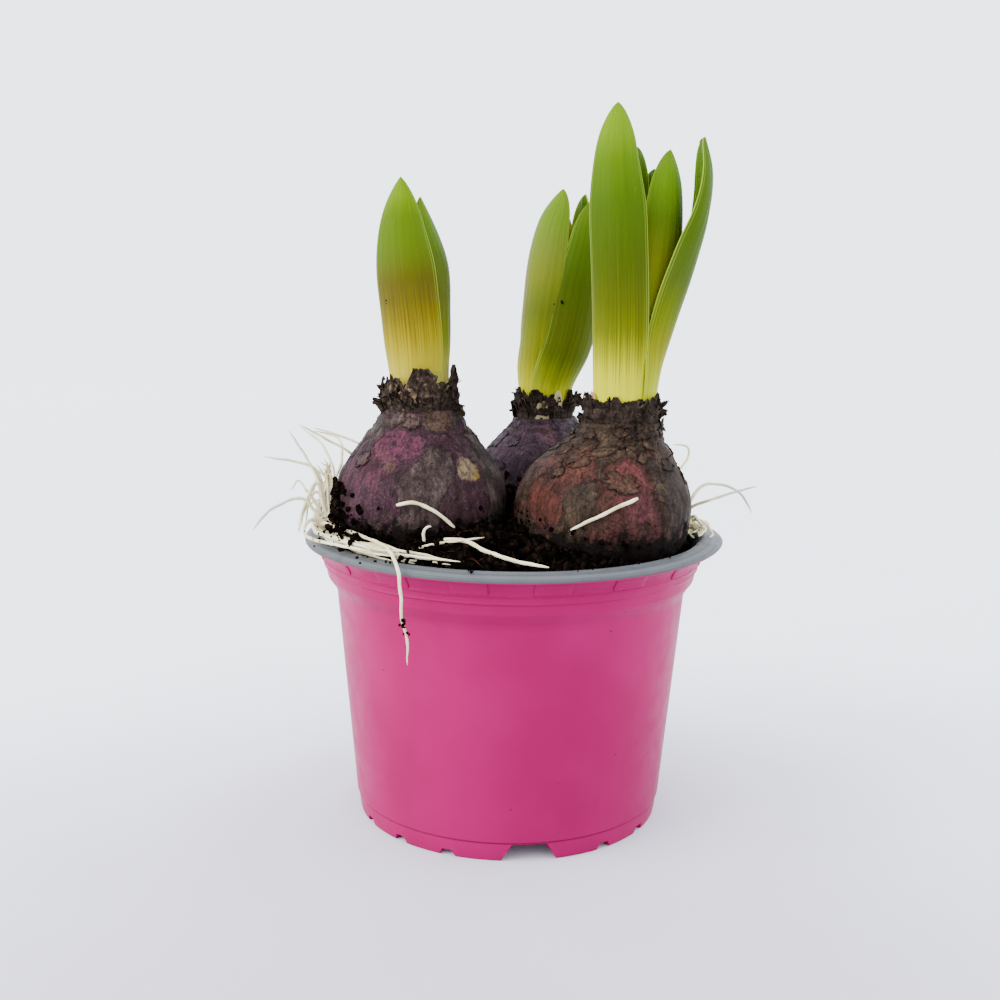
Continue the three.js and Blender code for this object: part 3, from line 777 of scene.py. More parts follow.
@dataclass(frozen=True)
class TunicFinish:
    """A bulb's tunic: coloured skin under torn paper, with fibres, crackle, smeared soil and
    painted shade in the low parts of its folds.
    """

    name: str
    ground: str
    middle: str
    paper: str
    paper_dark: str
    paper_light: str
    patches: tuple[Patch, ...]
    soil_height: float
    seed: float = 0.0
    cracks: float = 1.0
    pit: str = "120b0a"
    crack: str = "140c0b"
    torn: str = "0d0807"
    # the colour of the painted shade in the low parts of the folds
    painted_hollow_shading: str = "160e0c"
    soil: str = "0d0a09"
    soil_drop: float = 12.0
    soil_fade: float = 3.5
    soil_ragged: float = 26.0

    def make(self) -> Material:
        """The finished material. The marks hold the paper, its torn edges and the folds; the folds'
        low parts get painted shade.

        Returns:
            The material.
        """
        mat = Recipe(self.name, 0.6, 0.04)
        paper, edge, fold = mat.parts(mat.marks())
        seed = self.seed
        fibre = mat.noise(0.9, (1, 1, 0.22), seed=seed, detail=5, rough=0.65)
        crumple = mat.noise(6, (1, 1, 0.7), seed=seed + 1, detail=7, rough=0.62, swirl=0.5)
        wobble = mat.noise(7, (1, 1, 0.6), seed=seed + 2, detail=7, rough=0.68)
        grit = mat.noise(0.55, seed=seed + 3, detail=3, rough=0.7)
        skin = mat.ramp(crumple, [(0.34, self.ground), (0.5, self.middle), (0.66, self.ground)])
        outer = mat.ramp(mat.noise(3.4, (1, 1, 0.6), seed=seed + 4, detail=7, rough=0.68), [
            (0.34, self.paper_dark), (0.52, self.paper), (0.70, self.paper_light)])
        for patch in self.patches:
            inside = mat.near(patch.centre, patch.radius, wobble)
            uneven = mat.noise(2.6, (1, 1, 0.6), seed=seed + patch.radius, detail=6)
            uneven = mat.span(uneven, 0.3, 0.6, 0.2, 1.0)
            share = mat.times(inside, uneven, patch.share)
            skin = mat.over(share, skin, patch.code)
            outer = mat.over(mat.times(share, 0.25 if patch.bare > 0 else 0.85), outer, patch.code)
        colour = mat.over(mat.times(paper, 0.92), skin, outer)
        colour = mat.veil(colour, self.paper_dark, fibre, 0.56, 0.36, 0.68)
        colour = mat.over(mat.times(mat.span(grit, 0.54, 0.7), 0.45), colour, self.paper_light)
        colour = mat.over(mat.times(mat.span(grit, 0.48, 0.32), 0.65), colour, self.pit)
        edges = mat.shaken(mat.cells(3.2, (1, 1, 1.5), seed=seed + 5), crumple, 0.5)
        crackle = mat.span(edges, 0.05, 0.01)
        crackle = mat.times(crackle, mat.span(wobble, 0.42, 0.58))
        colour = mat.over(mat.times(crackle, 0.55 * self.cracks), colour, self.crack)
        colour = mat.over(mat.times(edge, 0.9), colour, self.torn)
        # Painted shade: darker where the fold mark is low, in the dents of the crumpled skin.
        colour = mat.veil(colour, self.painted_hollow_shading, fold, 0.0, -0.7, 0.5)
        ragged = mat.times(mat.noise(4.5, seed=seed + 7, detail=7, rough=0.7), self.soil_ragged)
        level = mat.math("SUBTRACT", mat.parts(mat.place)[2], ragged)
        top = self.soil_height - self.soil_drop
        smear = mat.span(level, top, top - self.soil_fade)
        colour = mat.over(mat.times(smear, 0.93), colour, self.soil)
        rough = mat.math("ADD", mat.span(crumple, 0.3, 0.7, 0.5, 0.68), mat.times(smear, 0.25))
        mat.bumps((crumple, 0.8), (fibre, 0.22), (grit, 0.10), (crackle, -0.25 * self.cracks),
                  (mat.times(smear, mat.noise(0.9, seed=3, detail=5)), 0.8))
        return mat.done(colour, rough)


@dataclass(frozen=True)
class ScrapFinish:
    """The torn, brittle top of a tunic, almost black with tan bits."""

    name: str
    tan_from: float = 0.6
    seed: float = 0.0
    tones: tuple[str, ...] = ("0b0807", "1d1612", "372c25", "6e5940", "98835f")
    gap: str = "080605"

    def make(self) -> Material:
        """The finished material.

        Returns:
            The material.
        """
        mat = Recipe(self.name, 0.75, 0.03)
        fibre = mat.noise(0.8, (1, 1, 0.35), seed=self.seed, detail=6)
        tone = mat.math("ADD", mat.noise(2.0, seed=self.seed + 1, detail=6, rough=0.7),
                        mat.parts(mat.marks())[0])
        stops = (0.25, 0.42, self.tan_from - 0.08, self.tan_from + 0.04, self.tan_from + 0.14)
        colour = mat.ramp(tone, list(zip(stops, self.tones)))
        colour = mat.veil(colour, self.gap, fibre, 0.55, 0.35, 0.7)
        mat.bumps((fibre, 0.3), (mat.noise(2.2, seed=self.seed + 3, detail=5), 0.5))
        return mat.done(colour)


@dataclass(frozen=True)
class SheathFinish:
    """The pale papery sheath that shows between the torn scraps."""

    name: str
    dark: str = "7a6a44"
    middle: str = "a0946c"
    light: str = "b5ab86"
    stain: str = "3c2a1c"

    def make(self) -> Material:
        """The finished material.

        Returns:
            The material.
        """
        mat = Recipe(self.name, 0.55, 0.05)
        stops = [(0.3, self.dark), (0.5, self.middle), (0.7, self.light)]
        colour = mat.ramp(mat.noise(3, (1, 1, 0.3), detail=5), stops)
        stains = mat.noise(1.1, (1, 1, 0.3), seed=5, detail=5)
        colour = mat.veil(colour, self.stain, stains, 0.55, 0.7, 0.7)
        mat.bumps((mat.noise(0.8, (1, 1, 0.2), seed=2, detail=4), 0.15))
        return mat.done(colour)


@dataclass(frozen=True)
class BladeFinish:
    """A fresh leaf: its colours from foot to tip, its streaks, flushed side and pale margin, with
    painted shade on its concave inner face.
    """

    stops: tuple[tuple[float, str], ...]
    streak: str = "2e2a06"
    streak_at: float = 0.45
    streak_reach: float = 0.30
    streak_share: float = 0.45
    edge: str = "7c8f2a"
    side: str = "5a3a28"
    side_share: float = 0.0
    side_from: float = -0.6
    # inside: the painted shade on the concave inner face; where it is lighter than the blade, it is
    # painted light
    inside: str = "2c4402"
    seed: float = 0.0
    dot: str = "97a05a"

    def make(self, name: str) -> Material:
        """The finished material. The marks hold the shares across and along, and which face is the
        concave inner one, which gets painted shade.

        Args:
            name: the material's name.
        Returns:
            The material.
        """
        mat = Recipe(name, 0.36, 0.03)
        vector = mat.marks()
        across, along, painted_hollow_shading = mat.parts(vector)
        lines = mat.noise(1.0, (20, 0.9, 0), seed=self.seed, detail=3, rough=0.7, vector=vector)
        fine = mat.noise(1.0, (48, 1.8, 0), seed=self.seed + 1, detail=3, rough=0.7, vector=vector)
        broad = mat.noise(1.0, (2.2, 4.0, 0), seed=self.seed + 2, detail=4, vector=vector)
        shaken = mat.shaken(mat.shaken(along, lines, 0.16), fine, 0.08)
        colour = mat.ramp(shaken, self.stops)
        away = mat.apart(shaken, self.streak_at)
        band = mat.span(away, self.streak_reach, 0.04, 0.12, 1.0)
        thin = mat.span(fine, 0.5, 0.62)
        wide = mat.span(lines, 0.5, 0.66, 0.0, 0.6)
        share = mat.times(mat.math("MAXIMUM", thin, wide), band, self.streak_share)
        colour = mat.over(share, colour, self.streak)
        if self.side_share:
            toward = mat.span(across, self.side_from, -1.0 if self.side_from < 0 else 1.0)
            middle = mat.span(mat.apart(along, 0.5), 0.3, 0.1)
            colour = mat.over(mat.times(toward, middle, self.side_share), colour, self.side)
        # Painted shade: the concave inner face takes half of the inside colour.
        colour = mat.over(mat.times(painted_hollow_shading, 0.5), colour, self.inside)
        reach = mat.math("ABSOLUTE", across)
        margin = mat.span(reach, 0.955, 0.985, 0.0, 0.85)
        second = mat.span(mat.apart(reach, 0.90), 0.018, 0.006, 0.0, 0.35)
        raised = mat.span(along, 0.15, 0.3)
        colour = mat.over(mat.times(mat.math("MAXIMUM", margin, second), raised), colour, self.edge)
        dots = mat.span(mat.noise(1.0, (40, 26, 0), seed=self.seed + 5, detail=2, vector=vector),
                        0.77, 0.8)
        colour = mat.over(mat.times(dots, 0.6), colour, self.dot)
        rough = mat.span(broad, 0.3, 0.7, 0.30, 0.44)
        mat.bumps((lines, 0.16), (fine, 0.07), (broad, 0.25))
        return mat.done(colour, rough)


@dataclass(frozen=True)
class BudFinish:
    """Tight waxy flower buds, pale green with darker tips."""

    dark: str = "56701a"
    light: str = "6b8428"
    deep: str = "43580f"
    bloom: str = "8c9450"

    def make(self) -> Material:
        """The finished material.

        Returns:
            The material.
        """
        mat = Recipe("flower_bud_wax", 0.4, 0.06)
        stops = [(0.3, self.dark), (0.5, self.light), (0.7, self.deep)]
        colour = mat.ramp(mat.noise(3.5, (1, 1, 0.5), detail=4), stops)
        colour = mat.veil(colour, self.bloom, mat.noise(1.2, (1, 1, 0.3), seed=4), 0.5, 0.7, 0.5)
        mat.bumps((mat.noise(0.9, (1, 1, 0.3), seed=2, detail=4), 0.1))
        return mat.done(colour)


@dataclass(frozen=True)
class RootFinish:
    """Fleshy ivory roots, greyer at their far tips, with brown stains and clinging soil."""

    dark: str = "ad9f70"
    middle: str = "d0c5a0"
    light: str = "e4dbbf"
    stain: str = "a08a5c"
    tip: str = "a9a99c"
    soil: str = "1c110c"
    tip_from: float = 57.0
    tip_fade: float = 8.0

    def make(self) -> Material:
        """The finished material.

        Returns:
            The material.
        """
        mat = Recipe("root_ivory", 0.5, 0.08)
        stops = [(0.3, self.dark), (0.5, self.middle), (0.72, self.light)]
        colour = mat.ramp(mat.noise(5, detail=5), stops)
        colour = mat.veil(colour, self.stain, mat.noise(2.0, seed=3, detail=6), 0.58, 0.7, 0.5)
        away = mat.math("ABSOLUTE", mat.parts(mat.place)[0])
        colour = mat.veil(colour, self.tip, away, self.tip_from, self.tip_from + self.tip_fade, 0.8)
        dirt = mat.noise(0.8, seed=6, detail=6, rough=0.72)
        colour = mat.veil(colour, self.soil, dirt, 0.64, 0.68, 0.9)
        mat.bumps((mat.noise(1.4, seed=2, detail=5), 0.18),
                  (mat.noise(0.35, seed=5, detail=3), 0.03))
        return mat.done(colour)


# ---- Pot


@dataclass
class Pot:
    """The thin moulded pot with its flared lip, stacking lugs, notched foot and drain holes."""

    floor_top: float = 6.0
    underside: float = 4.0
    lip_radius: float = 60.0
    lining_from: float = 81.3
    outside: tuple[Pair, ...] = (
        (39.8, 4.0), (40.4, 0), (44.2, 0), (44.85, 5.1), (44.7, 5.35), (45.25, 5.6), (50.8, 66.5),
        (51.3, 68.0),
        (53.6, 71.2), (53.9, 74.0), (54.7, 74.3), (54.45, 74.7), (54.75, 76.2), (55.6, 76.55),
        (55.2, 76.9),
        (55.4, 78.0), (57.2, 80.6), (59.6, 80.7), (60.0, 81.4), (59.2, 82.5), (57.2, 83.2))
    inside: tuple[Pair, ...] = (
        (55.6, 83.4), (54.6, 83.0), (53.6, 77.5), (52.9, 72.3), (50.2, 67.8), (44.4, 7.0),
        (43.6, 6.0))
    bulge_at: float = 3
    bulge_spread: float = 14
    bulge_reach: float = 2.1
    bulge_from: float = 55.6
    wide_notches: tuple[float, ...] = (-82, 38, 158)
    wide_size: tuple[float, float, float] = (16.5, 9.5, 5.0)
    low_offsets: tuple[float, ...] = (-50, -29.5, 29.5, 50)
    low_size: tuple[float, float, float] = (5.4, 3.0, 1.9)
    notch_radius: float = 43.4
    notch_depth: float = 7.4
    notch_below: float = 1.0
    wall_from: int = 5
    wall_to: int = 17
    lining_depth: float = 0.7
    lining_low: float = 5.0
    holes: int = 6
    hole_radius: float = 3.5
    hole_ring: float = 27
    hole_cut: float = 8
    lugs: int = 16
    lug_at: float = -146
    lug_width: float = 10.4
    lug_raise: float = 0.32
    lug_sink: float = 0.3
    lug_round: float = 0.14
    lug_levels: Pair = (76.9, 80.4)
    steps: int = 192
    corner: float = 38
    finish: PlasticFinish = field(default_factory=PlasticFinish)

    def _wall(self, height: Array | float) -> Array | float:
        """The outside radius of the wall and band at a height."""
        wall = self.outside[self.wall_from:self.wall_to]
        return np.interp(height, [z for _, z in wall], [r for r, _ in wall])

    def _bulged(self, points: Array) -> Array:
        """The points with the lip pushed out round one place, as in the solid.

        Args:
            points: places in mm.
        Returns:
            The moved places.
        """
        radius = np.hypot(points[:, 0], points[:, 1])
        away = (np.degrees(np.arctan2(points[:, 1], points[:, 0])) - self.bulge_at) / (
            self.bulge_spread)
        share = np.clip((radius - self.bulge_from) / (self.lip_radius - self.bulge_from), 0, 1)
        scale = 1 + self.bulge_reach * share * np.exp(-0.5 * away ** 2) / np.maximum(radius, 1)
        moved = points.copy()
        moved[:, :2] *= scale[:, None]
        return moved

    def _notch(self, size: tuple[float, float, float], angle: float) -> Piece:
        """A tapered block that cuts one notch in the foot.

        Args:
            size: its width below, its width above and its height.
            angle: where it cuts, in degrees.
        Returns:
            The block.
        """
        below, above, height = size
        deselect()
        bpy.ops.mesh.primitive_cube_add(size=1)
        block = bpy.context.object
        turn = radians(angle)
        for vertex in block.data.vertices:
            top = vertex.co.z > 0
            width = above if top else below + (below - above) * 0.2 / height
            radial = self.notch_radius + vertex.co.y * self.notch_depth
            side = vertex.co.x * width
            x = radial * cos(turn) - side * sin(turn)
            y = radial * sin(turn) + side * cos(turn)
            vertex.co = (x * MM, y * MM, (height if top else -self.notch_below) * MM)
        close_up(block, fill=False)
        return block

    def _drain(self, order: int) -> Piece:
        """A cylinder that cuts one drain hole.

        Args:
            order: which hole.
        Returns:
            The cylinder.
        """
        angle = (order + 0.5) * TURN / self.holes
        deselect()
        place = beside((0, 0), angle, self.hole_ring, (self.floor_top + self.underside) / 2)
        bpy.ops.mesh.primitive_cylinder_add(
            vertices=32, radius=self.hole_radius * MM, depth=self.hole_cut * MM,
            location=[part * MM for part in place])
        bpy.ops.object.transform_apply(location=True, rotation=True, scale=True)
        return bpy.context.object

    def _lug(self, angle: float) -> Piece:
        """One low stacking lug on the band under the lip, with softened edges.

        Args:
            angle: where its middle is, in degrees.
        Returns:
            The lug.
        """
        low, high = self.lug_levels
        rows, columns = 6, 7
        points = np.zeros((2 * rows, columns, 3))
        for j in range(2 * rows):
            back = j >= rows
            level = (2 * rows - 1 - j) if back else j
            height = mix(low, high, level / (rows - 1))
            radius = float(self._wall(height)) + (-self.lug_sink if back else self.lug_raise)
            for i in range(columns):
                turn = radians(angle + self.lug_width * (i / (columns - 1) - 0.5))
                points[j, i] = beside((0, 0), turn, radius, height)
        lug = panel("lug", np.concatenate([points, points[:1]]))
        close_up(lug)
        modify(lug, "BEVEL", width=self.lug_round * MM, segments=2, limit_method="ANGLE",
               angle_limit=radians(50))
        return lug

    def _lined(self, points: Array) -> Array:
        """Marks for the points of the grey inside and lip.

        Args:
            points: places in mm.
        Returns:
            One row of three for each point, 1 first where it is grey.
        """
        radius = np.hypot(points[:, 0], points[:, 1])
        inner = (radius < self._wall(points[:, 2]) - self.lining_depth) & (
            points[:, 2] > self.lining_low)
        marks = np.zeros_like(points)
        marks[:, 0] = inner | (points[:, 2] > self.lining_from)
        return marks

    def build(self) -> None:
        """The pot as one piece."""
        line = [(0.0, self.underside), *self.outside, *self.inside, (0.0, self.floor_top)]
        pot = turned("pot_shell", rounded(line, reach=0.3), self.steps)
        cutters = [self._notch(self.wide_size, angle) for angle in self.wide_notches]
        cutters += [self._notch(self.low_size, angle + offset)
                    for angle in self.wide_notches for offset in self.low_offsets]
        cutters += [self._drain(order) for order in range(self.holes)]
        cutter = joined("notch_blocks", cutters)
        modify(pot, "BOOLEAN", operation="DIFFERENCE", object=cutter, solver="EXACT")
        bpy.data.objects.remove(cutter)
        set_places(pot, self._bulged(places_of(pot)))
        lugs = [self._lug(self.lug_at + order * 360 / self.lugs) for order in range(self.lugs)]
        pot = joined("pot_shell", [pot, *lugs])
        set_marks(pot, self._lined(places_of(pot)))
        soften(pot, self.corner)
        finish_piece(pot, self.finish.make(), Slot.POT, "pot")


# ---- Bulbs


@dataclass(frozen=True)
class Flap:
    """One large curled flap of a torn crown: where it stands, its size, curl, lean and tone."""

    angle: float
    height: float
    width: float
    tall: float
    curl: float
    lean: float = -0.2
    tone: float = 0.12
    reach: float = 0.0


@dataclass
class Crown:
    """The torn top of a bulb's tunic: folded ragged bands, curled scraps, flaps and spikes."""

    low: float
    high: float
    ragged: float
    inner: float
    outer: float
    scraps: int
    seed: int
    tan_from: float
    spikes: int = 10
    drop: float = 1.8
    scrap_size: Pair = (2.2, 4.0)
    flaps: tuple[Flap, ...] = ()
    bands: int = 3
    scrap_kinds: tuple[Pair, ...] = ((1.2, 1.2), (-1.6, 1.0), (2.0, 1.3), (0.7, 0.9), (-1.1, 1.5))
    spike_curls: tuple[float, ...] = (0.5, -0.7, 1.0)
    columns: int = 150
    rows: int = 22

    def _band(self, neck: Pair, order: int) -> Piece:
        """One ragged band of crumpled tunic, with folds round the neck.

        Args:
            neck: the middle of the bulb's neck.
            order: which band, from the inside out.
        Returns:
            The band.
        """
        draw = Random(self.seed * 7 + order)
        share = order / (self.bands - 1)
        base = mix(self.inner + 0.2, self.outer - 0.7, share)
        top = self.high + 0.5 - self.drop * share
        points = np.zeros((self.rows, self.columns + 1, 3))
        phases = [draw.uniform(0, 50) for _ in range(4)]
        for i in range(self.columns + 1):
            angle = TURN * (i % self.columns) / self.columns
            side = Vector((cos(angle), sin(angle), 0))
            broad = noise.noise(side * 3.1 + Vector((phases[0], 0, 0)))
            fine = noise.noise(side * 9.0 + Vector((phases[1], 0, 0)))
            crest = top + self.ragged * (broad + 0.9 * fine)
            for j in range(self.rows):
                v = j / (self.rows - 1)
                z = mix(self.low - 2.6, crest, v)
                fold = noise.noise(side * 5.5 + Vector((phases[2], 0, v * 0.8))) * 0.8
                crimp = noise.fractal(side * 1.3 + Vector((phases[3], 0, z * 0.62)), 0.9, 2.0, 3)
                reach = base + (0.6 * fold + 0.75 * crimp) * (0.5 + 0.5 * v) + 0.5 * v * v
                points[j, i] = (neck[0] + reach * side.x, neck[1] + reach * side.y, z)
        band = panel("band", points)
        close_up(band, fill=False)
        modify(band, "SOLIDIFY", thickness=0.35 * MM, offset=0.0)
        return band

    @staticmethod
    def _scrap_model(curl: float, narrow: float, seed: int, rows: int = 8,
                     columns: int = 7) -> Piece:
        """One crumpled scrap of dry tunic, about a unit long and standing on its foot.

        Args:
            curl: how far it bends over, in radians.
            narrow: its width.
            seed: which shape it is.
            rows: points along it.
            columns: points across it.
        Returns:
            The scrap.
        """
        points = np.zeros((rows, columns, 3))
        shift = Vector((seed * 3.7, 0, 0))
        for j in range(rows):
            v = j / (rows - 1)
            torn = noise.noise(Vector((0, 0, v * 3.0)) + shift)
            width = 0.5 * narrow * (1 - 0.55 * v ** 3) * (1 + 0.5 * torn)
            bend = curl * v
            out = (1 - cos(bend)) / max(abs(curl), 0.3) * copysign(1, curl)
            for i in range(columns):
                u = 2 * i / (columns - 1) - 1
                crush = noise.noise_vector(Vector((u * 1.4, v * 2.2, 0)) + shift) * 0.22
                tip = 1 + 0.16 * noise.noise(Vector((u * 3.0, 5.0, 0)) + shift)
                points[j, i] = (u * width + crush.x, out + crush.y + 0.25 * u * u,
                                v * tip * cos(bend * 0.5) + crush.z)
        scrap = panel("scrap", points / MM)
        modify(scrap, "SOLIDIFY", thickness=0.06, offset=0.0)
        return scrap

    def _scraps(self, neck: Pair, draw: Random) -> Piece:
        """Small curled scraps all round, by a seeded rule.

        Args:
            neck: the middle of the bulb's neck.
            draw: the chance that places them.
        Returns:
            The scraps as one mesh.
        """
        models = [self._scrap_model(curl, narrow, order)
                  for order, (curl, narrow) in enumerate(self.scrap_kinds)]
        places, tones = [], []
        for _ in range(self.scraps):
            angle, level = draw.uniform(0, TURN), draw.random()
            reach = mix(self.outer - 0.9, self.inner + 0.7, level) + draw.uniform(-0.4, 0.3)
            height = mix(self.low - 1.2, self.high - 2.2, level) + draw.uniform(-0.4, 0.4)
            at = beside(neck, angle, reach, height)
            size = draw.uniform(*self.scrap_size)
            turn = (draw.uniform(-0.9, 0.3), draw.uniform(-0.9, 0.9),
                    angle - TURN / 4 + draw.uniform(-0.5, 0.5))
            places.append(placed(at, turn, (size, size * draw.uniform(0.35, 0.7), size)))
            tones.append(draw.choice((0.0, 0.0, 0.03, 0.09)))
        return scattered("scraps", models, places, tones)

    def _spikes(self, neck: Pair, draw: Random) -> Piece:
        """Narrow upright splinters.

        Args:
            neck: the middle of the bulb's neck.
            draw: the chance that places them.
        Returns:
            The splinters as one mesh.
        """
        slim = [self._scrap_model(curl, 0.28, 20 + order)
                for order, curl in enumerate(self.spike_curls)]
        places, tones = [], []
        for _ in range(self.spikes):
            angle = draw.uniform(0, TURN)
            at = beside(neck, angle, self.outer - 1.1, self.high - 2.6)
            size = draw.uniform(3.0, 5.2)
            turn = (draw.uniform(-0.6, 0.0), draw.uniform(-0.4, 0.4), angle - TURN / 4)
            places.append(placed(at, turn, (size, size * 0.7, size)))
            tones.append(draw.choice((0.0, 0.05)))
        return scattered("spikes", slim, places, tones)

    def _flap(self, neck: Pair, flap: Flap, order: int) -> Piece:
        """One large flap, finer than the scraps.

        Args:
            neck: the middle of the bulb's neck.
            flap: its numbers.
            order: which shape it is.
        Returns:
            The flap.
        """
        angle = radians(flap.angle)
        at = beside(neck, angle, self.outer - 0.6 + flap.reach, flap.height)
        turn = (flap.lean, 0.0, angle - TURN / 4)
        model = self._scrap_model(flap.curl, 1.0, 40 + order, rows=18, columns=15)
        place = placed(at, turn, (flap.width, flap.tall * 0.6, flap.tall))
        return scattered("flap", [model], [place], [flap.tone])

    def build(self, place: str, neck: Pair) -> None:
        """The crown of one bulb.

        Args:
            place: which bulb it stands on.
            neck: the middle of that bulb's neck.
        """
        draw = Random(self.seed * 101)
        pieces = [self._band(neck, order) for order in range(self.bands)]
        pieces += [self._scraps(neck, draw), self._spikes(neck, draw)]
        pieces += [self._flap(neck, flap, order) for order, flap in enumerate(self.flaps)]
        crown = joined(f"tunic_crown_{place}_torn", pieces)
        soften(crown, 55)
        finish_piece(crown, ScrapFinish(f"dry_crown_{place}", self.tan_from, self.seed).make(),
                     Slot.DRY_TUNIC, f"tunic_crown_{place}")


@dataclass(frozen=True)
class Sheath:
    """A pale papery tongue that stands between the leaves and the torn crown."""

    angle: float
    radius: float
    width: float
    low: float
    high: float
    lean: float = 0.6
    rows: int = 10
    columns: int = 9

    def build(self, name: str, neck: Pair) -> Piece:
        """The tongue, on the neck of its bulb.

        Args:
            name: the piece's name.
            neck: the middle of the bulb's neck.
        Returns:
            The tongue.
        """
        points = np.zeros((self.rows, self.columns, 3))
        for j, i, u, v in grid_steps(self.rows, self.columns):
            torn = 0.8 * noise.noise(Vector((u * 3, self.angle, 0)))
            wave = 0.25 * noise.noise(Vector((u * 2, v * 2, self.angle)))
            reach = self.radius + self.lean * v * v + wave
            across = 0.5 * self.width * u * (1 - 0.35 * v * v) / self.radius
            height = mix(self.low, self.high - 1.2 * u * u - torn, v)
            points[j, i] = beside(neck, radians(self.angle) + across, reach, height)
        piece = panel(name, points)
        modify(piece, "SOLIDIFY", thickness=0.3 * MM, offset=0.0)
        soften(piece, 60)
        return piece


@dataclass
class Bulb:
    """One bulb: its body, peeling tunic, torn crown, leaves and flower bud."""

    place: str
    body: Pair
    neck: Pair
    floor: float
    outline: tuple[Pair, ...]
    finish: TunicFinish
    flakes: int
    flake_band: Pair
    neck_rings: float
    paper_amount: float
    crown: Crown
    seed: int
    sheaths: tuple[Sheath, ...] = ()
    sheath_colours: tuple[str, str, str] = ("7a6a44", "a0946c", "b5ab86")
    flake_wide: Pair = (4.0, 9.5)
    flake_tall: Pair = (2.4, 5.2)
    flake_lift: float = 0.5
    flake_grid: tuple[int, int] = (9, 13)
    lean: float = 103.0
    segments: int = 288

    def __post_init__(self) -> None:
        """Draws the smooth outline once."""
        route = Route([(radius, 0.0, height) for height, radius in self.outline], 11)
        self.heights = route.line[:, 2]
        self.radii = route.line[:, 0]
        self.top = self.outline[-1][0]

    def radius(self, height: float) -> float:
        """The skin's distance from the bulb's middle line at a height."""
        return float(np.interp(height, self.heights, self.radii))

    def middle(self, height: float) -> Pair:
        """The bulb's middle line at a height."""
        rise = smooth((height - self.lean) / (self.top - self.lean))
        return (mix(self.body[0], self.neck[0], rise), mix(self.body[1], self.neck[1], rise))

    def skin(self, angle: float, height: float, proud: float = 0.0) -> Array:
        """A place on the skin, or proud of it by some mm."""
        return np.array(beside(self.middle(height), angle, self.radius(height) + proud, height))

    def _torn(self, point: Array) -> Pair:
        """How far the outer paper covers a place, and how near its torn edge is.

        Args:
            point: the place in mm.
        Returns:
            The cover and the edge, each from 0 to 1.
        """
        value = cloud(point * np.array([1, 1, 0.8]), 10, self.seed + 2, 4) * 1.1 + self.paper_amount
        value += 0.3 * cloud(point, 2.4, self.seed + 3, 2)
        for patch in self.finish.patches:
            if patch.bare:
                away = dist(point, patch.centre) / patch.radius
                value -= patch.bare * smooth(1.5 - away)
        return smooth(value / 0.14 + 0.5), exp(-((value + 0.04) / 0.06) ** 2)

    def relief(self, here: Array) -> tuple[float, Point]:
        """The skin's height over its smooth outline at a place, and the place's marks.

        Args:
            here: the place in mm.
        Returns:
            The height in mm, and the marks.
        """
        paper, edge = self._torn(here)
        at_neck = smooth((here[2] - (self.top - 12)) / 8)
        dent = cloud(here, 12, self.seed, 2) * 0.45
        fold = cloud(here * np.array([1, 1, 0.35]), 3.2, self.seed + 5, 3)
        ring = cloud(here * np.array([0.35, 0.35, 2.4]), 3.0, self.seed + 9, 3)
        crease = exp(-(cloud(here, 15, self.seed + 12, 3) / 0.05) ** 2)
        crease *= self.finish.cracks * smooth(2.5 * cloud(here, 18, self.seed + 14, 1) + 0.4)
        proud = (dent + 0.32 * fold) * (1 - 0.5 * at_neck) + ring * self.neck_rings * at_neck
        proud += 0.34 * paper + 0.24 * edge * paper - 0.35 * crease
        proud *= smooth((here[2] - self.outline[0][0]) / 3)
        # The third mark is the height of the folds and neck rings, which the finish darkens where
        # low as painted shade.
        return proud, (paper, max(0.85 * edge, crease), mix(fold, ring, at_neck))

    def build_body(self, dress: Material) -> None:
        """The bulb's body, spun from its outline, crumpled and torn.

        Args:
            dress: the tunic's material.
        """
        low = self.outline[0][0]
        mouth = self.radii[-1] - 1.6
        line = [(0.0, low), *zip(self.radii, self.heights), (self.radii[-1] - 0.5, self.top + 0.2),
                (mouth, self.top), (mouth - 0.3, self.floor), (0.0, self.floor)]
        body = turned(f"bulb_{self.place}_tunic", line, self.segments)
        points = places_of(body)
        marks = np.zeros_like(points)
        for i, (x, y, z) in enumerate(points):
            reach = hypot(x, y)
            mx, my = self.middle(z)
            proud = 0.0
            if reach > mouth + 0.2:
                proud, marks[i] = self.relief(np.array([x + mx, y + my, z]))
            scale = (reach + proud) / max(reach, 1e-6)
            points[i] = (mx + x * scale, my + y * scale, z)
        set_places(body, points)
        set_marks(body, marks)
        soften(body)
        finish_piece(body, dress, Slot.BULB, f"bulb_{self.place}")

    def _flake(self, angle: float, height: float, wide: float, tall: float, lift: float,
               seed: int) -> Piece:
        """One peeling flake: a ragged sheet that follows the skin and curls off it at one edge.

        Args:
            angle: where it is, in radians.
            height: where it is, in mm.
            wide: its width.
            tall: its height.
            lift: how far its edge curls off.
            seed: which shape it is.
        Returns:
            The flake.
        """
        draw = Random(seed)
        rows, columns = self.flake_grid
        points = np.zeros((rows, columns, 3))
        marks = np.zeros_like(points)
        shift = Vector((seed * 2.9, 0, 0))
        lean, curl_side = draw.uniform(-0.6, 0.6), draw.choice((-1, -1, 1))
        for j, i, u, _ in grid_steps(rows, columns):
            v = 2 * j / (rows - 1) - 1
            torn = 1 + 0.6 * noise.noise(Vector((u * 2.6, v * 2.6, 0)) + shift)
            across = u * torn * sqrt(1 - 0.45 * v * v)
            rise = 0.5 * tall * v * torn * sqrt(1 - 0.45 * u * u)
            z = min(height + rise + lean * across * tall * 0.4, self.top + 1.5)
            turn = angle + 0.5 * wide * across / max(self.radius(z), 4)
            edge = max(0.0, curl_side * v) ** 2 + 0.4 * abs(u) ** 3
            wave = 0.15 * noise.noise(Vector((u * 1.7, v * 1.7, 4)) + shift)
            proud, _ = self.relief(self.skin(turn, z))
            points[j, i] = self.skin(turn, z, proud + 0.1 + lift * edge + wave)
